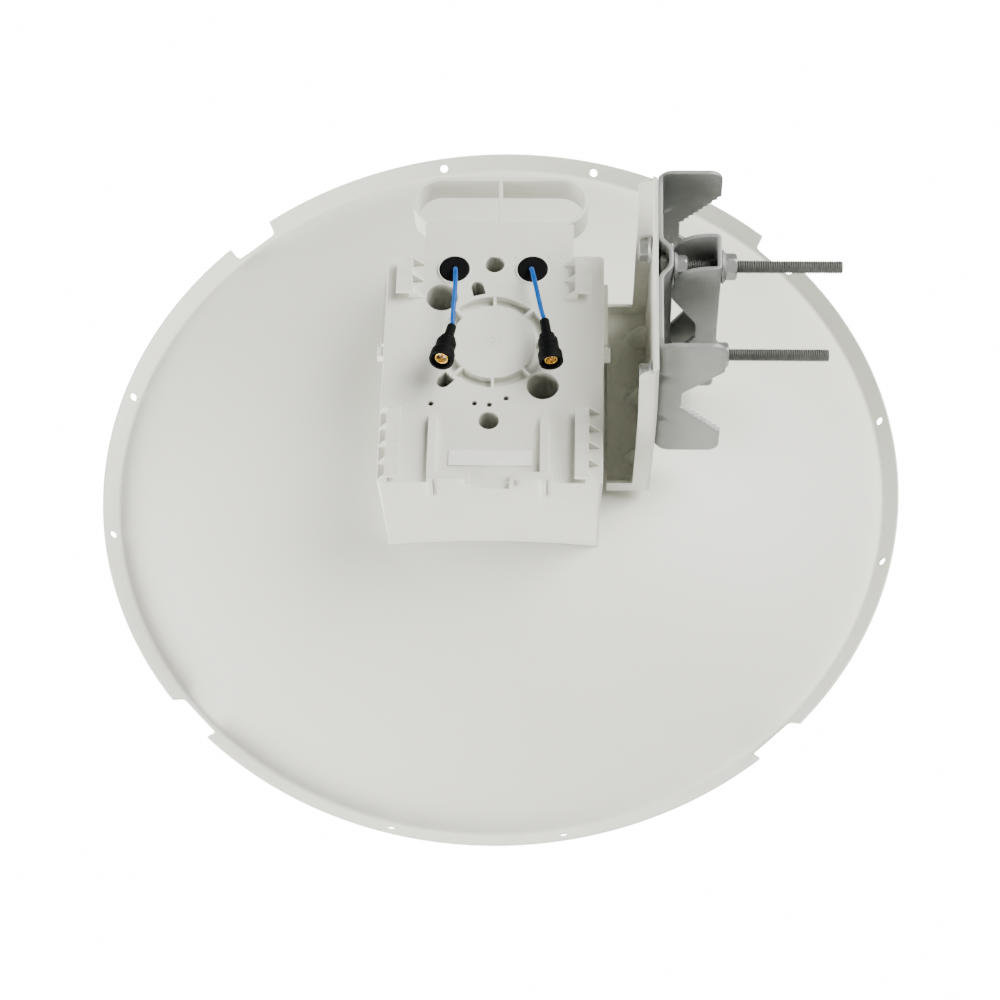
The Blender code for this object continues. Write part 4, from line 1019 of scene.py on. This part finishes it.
# Clamp jaw
# A narrow channel of 3 mm steel whose deep notched flanges hold the pole from its other
# side. It is pressed and coated like the bracket, and slides on the two rods.
JAW_BACK, JAW_SHEET, JAW_WIDE, JAW_HIGH = 0.1699, 0.003, 0.0163, 0.0805
JAW_FRONT, JAW_LEG, JAW_TEETH = 0.132, (0.009, 0.0375), 8
# The flange's free edge, in pairs of height above or below the middle and place along x
NOSE = ((0, 0.1530), (0.0065, 0.1530), (0.0090, 0.1524), (0.0375, 0.1362), (0.0405, 0.1346),
        (0.0435, 0.1336), (0.0463, 0.1332), (0.0500, 0.1333), (0.0560, 0.1340),
        (0.0635, 0.1358), (0.0700, 0.1387), (0.0733, 0.1413), (0.0760, 0.1448),
        (0.0778, 0.1488), (0.0792, 0.1540), (0.0800, 0.1592), (0.0805, 0.1635))
jaw_path, jaw_length = pressing_path([(JAW_FRONT, -JAW_WIDE), (JAW_BACK, -JAW_WIDE),
                                      (JAW_BACK, JAW_WIDE), (JAW_FRONT, JAW_WIDE)],
                                     [0, 0.0052, 0.0052, 0])
levels = pressing_levels(JAW_HIGH)


def jaw_tip(level, toothed):
    """How far the flange's free edge draws back: the notch in the middle with eight teeth on
    the toothed leg, the rounded nose, and the long curve back to the web at each end."""
    d = np.abs(level)
    at = np.interp(d, *np.transpose(NOSE))
    leg = (d - JAW_LEG[0]) / (JAW_LEG[1] - JAW_LEG[0])
    on_leg = (level * toothed > 0) & (leg > 0) & (leg < 1)
    tooth = 0.0024 * np.abs(np.sin(np.pi * JAW_TEETH * leg))
    return at - JAW_FRONT + np.where(on_leg, tooth, 0.0)


jaw = pressed(jaw_path, 1, JAW_SHEET, levels, jaw_tip(levels, -1), jaw_tip(levels, 1),
              (0.0335, jaw_length - 0.0335), from_middle)
piece("jaw_channel", [jaw], grey_coat, "clamp", "clamp_jaw", 38.0)

# Rods, bolts and nuts
# M10 fasteners of zinc-flake coated steel: two fully threaded rods with hexagon heads, two
# short bolts and six flange nuts, cold formed, with rolled threads of 1.7 mm pitch, as
# counted in the photo.
BOLT, ACROSS, PITCH, THREAD_DEPTH = 0.005, 0.015, 0.0017, 0.0008
ROD_STEP, ROD_END, BOLT_STEP, BOLT_LENGTH, TRAY_FACE = 0.0605, 0.2599, 0.057, 0.0209, 0.1208
OUTER_NUT_SIZE = 1.16

# Zinc-flake coat on steel: dull silver grey with a soft cloudy grain.
zinc_flake, tree, shader, place = start_finish("zinc_flake_steel", 0.42, 0.85)
mottle(tree, place, shader, "BCBEBD", "A6A8A7", 0.004)
grain(tree, place, shader, 0.0009, 0.00003, roughness=(0.4, 0.58))

# The same coat on rolled threads, duller and darker.
thread_flake, tree, shader, place = start_finish("zinc_flake_thread", 0.5, 0.6)
mottle(tree, place, shader, "6C6E6A", "5E605C", 0.012)
grain(tree, place, shader, 0.0009, 0.00003, roughness=(0.44, 0.6))


def hexed(profile, seat, size, closed=True):
    """A profile of (radius, distance, hexagon) rows turned about x: on hexagon rows the
    radius is the smaller of its own and that of a 15 mm hexagon, flats facing y. Size
    scales the whole."""
    turn = full_turn(96)[None]
    cos, sin = np.cos(turn), np.sin(turn)
    off_flat = (turn + np.pi / 6) % (np.pi / 3) - np.pi / 6
    flat = size * ACROSS / 2 / np.cos(off_flat)
    radius, reach, hexagon = (column[:, None] for column in np.array(profile, dtype=float).T)
    radius, reach = size * radius, size * reach
    radius = np.where(hexagon > 0.5, np.minimum(radius, flat), radius + 0 * turn)
    x = seat[0] + reach + 0 * turn
    points = np.stack([x, seat[1] + radius * cos, seat[2] + radius * sin], axis=-1)
    return net(points, around=True, along=closed)


def threaded(start, stop, y, z):
    """A rolled thread about x, twelve rings to a pitch: the radius falls by 0.8 mm with the
    distance from the crest line, which climbs one pitch in each turn. Both ends taper."""
    count = int(round(abs(stop - start) / PITCH * 12)) + 1
    x = np.linspace(start, stop, count)[:, None]
    turn = full_turn(48)[None]
    phase = ((x - start) / PITCH - turn / (2 * np.pi)) % 1.0
    crest = np.clip(np.abs(phase - 0.5) * 3.0 - 0.3, 0, 1)
    radius = BOLT - THREAD_DEPTH * (1 - crest)
    end = np.minimum(np.abs(x - stop), np.abs(x - start)) / 0.0012
    radius = np.minimum(radius, BOLT - 0.0011 * (1 - np.clip(end, 0, 1)))
    points = np.stack([x + 0 * turn, y + radius * np.cos(turn), z + radius * np.sin(turn)],
                      axis=-1)
    return capped(points)


def flange_nut(name, node, seat, body, size=1.0):
    """Flange nut: washer face, domed flange, chamfered hexagon and a countersunk bore."""
    bore = 0.0053 / size
    profile = [(bore, 0.0008, 0), (bore + 0.0007, 0.0001, 0), (0.0105, 0.0001, 0),
               (0.0109, 0.0004, 0), (0.01095, 0.0010, 0), (0.0106, 0.0015, 0),
               (0.0092, 0.0026, 0), (0.0088, 0.0029, 0), (0.0088, 0.0029, 1),
               (0.0088, 0.0084, 1), (0.0083, 0.0090, 1), (0.0078, 0.0095, 1),
               (0.0073, 0.0098, 1), (0.0068, 0.0099, 0), (0.0060, 0.0099, 0),
               (bore, 0.0092, 0)]
    piece(name, [hexed(profile, seat, size)], zinc_flake, body, node, 30.0)


# Heads in rows of radius, distance and 1 where the hexagon cuts in
rod_head = [(0.0, -0.0059, 0), (0.0066, -0.0059, 0), (0.0074, -0.0057, 1),
            (0.0082, -0.0052, 1), (0.0087, -0.0046, 1), (0.0088, -0.0004, 1),
            (0.0080, -0.0001, 0), (0.0, -0.0001, 0)]
for side, label in ((1, "upper"), (-1, "lower")):
    z = MIDDLE_Z + side * ROD_STEP
    seat = PLATE_FACE + RIB_RISE - GAP
    piece("threaded_rod_" + label, [hexed(rod_head, (seat, MIDDLE_Y, z), 1, False),
                                    threaded(seat - 0.001, ROD_END, MIDDLE_Y, z)],
          thread_flake, "pole_mount", "clamp_rod_" + label, 58.0)
    flange_nut("inner_flange_nut_" + label, "inner_nut_" + label,
               (PLATE_FACE + RIB_RISE + THICK + GAP, MIDDLE_Y, z), "pole_mount")
    flange_nut("outer_flange_nut_" + label, "outer_nut_" + label,
               (JAW_BACK + GAP, MIDDLE_Y, z), "clamp", OUTER_NUT_SIZE)
bolt_head = [(0.0, -0.0099, 0), (0.0066, -0.0099, 0), (0.0073, -0.0097, 1),
             (0.0081, -0.0092, 1), (0.0087, -0.0085, 1), (0.0088, -0.0030, 1),
             (0.0088, -0.0030, 0), (0.0092, -0.0026, 0), (0.0106, -0.0015, 0),
             (0.0109, -0.0010, 0), (0.0109, -0.0003, 0), (0.0105, -0.0001, 0),
             (0.0, -0.0001, 0)]
for side, label in ((-1, "pivot"), (1, "slot")):
    y = MIDDLE_Y + side * BOLT_STEP
    seat = TRAY_FACE - GAP
    piece("flange_bolt_" + label, [hexed(bolt_head, (seat, y, MIDDLE_Z), 1, False),
                                   threaded(seat - 0.001, seat + BOLT_LENGTH, y, MIDDLE_Z)],
          zinc_flake, "pole_mount", label + "_bolt", 58.0)
    flange_nut(label + "_flange_nut", label + "_nut", (PLATE_FACE + THICK + GAP, y, MIDDLE_Z),
               "pole_mount")

# Floor
# A plain pale studio floor, well below the dish, so that the view from below stays clear.
# It throws no light back, because the hollows behind the dish are dark.
FLOOR_HALF, FLOOR_LEVEL = 9, -1.9
floor_corners = [(x * FLOOR_HALF, y * FLOOR_HALF, FLOOR_LEVEL)
                 for x, y in ((-1, -1), (1, -1), (1, 1), (-1, 1))]
floor_mesh = bpy.data.meshes.new("studio_floor")
floor_mesh.from_pydata(floor_corners, [], [(0, 1, 2, 3)])
floor_paint, tree, shader, place = start_finish("pale_studio_floor", 0.8)
mottle(tree, place, shader, "F2F2F1", "EDEDEC", 0.6)
floor_mesh.materials.append(floor_paint)
floor = put("studio_floor", floor_mesh)
floor.visible_diffuse = False
floor.visible_glossy = False

bpy.context.view_layer.update()
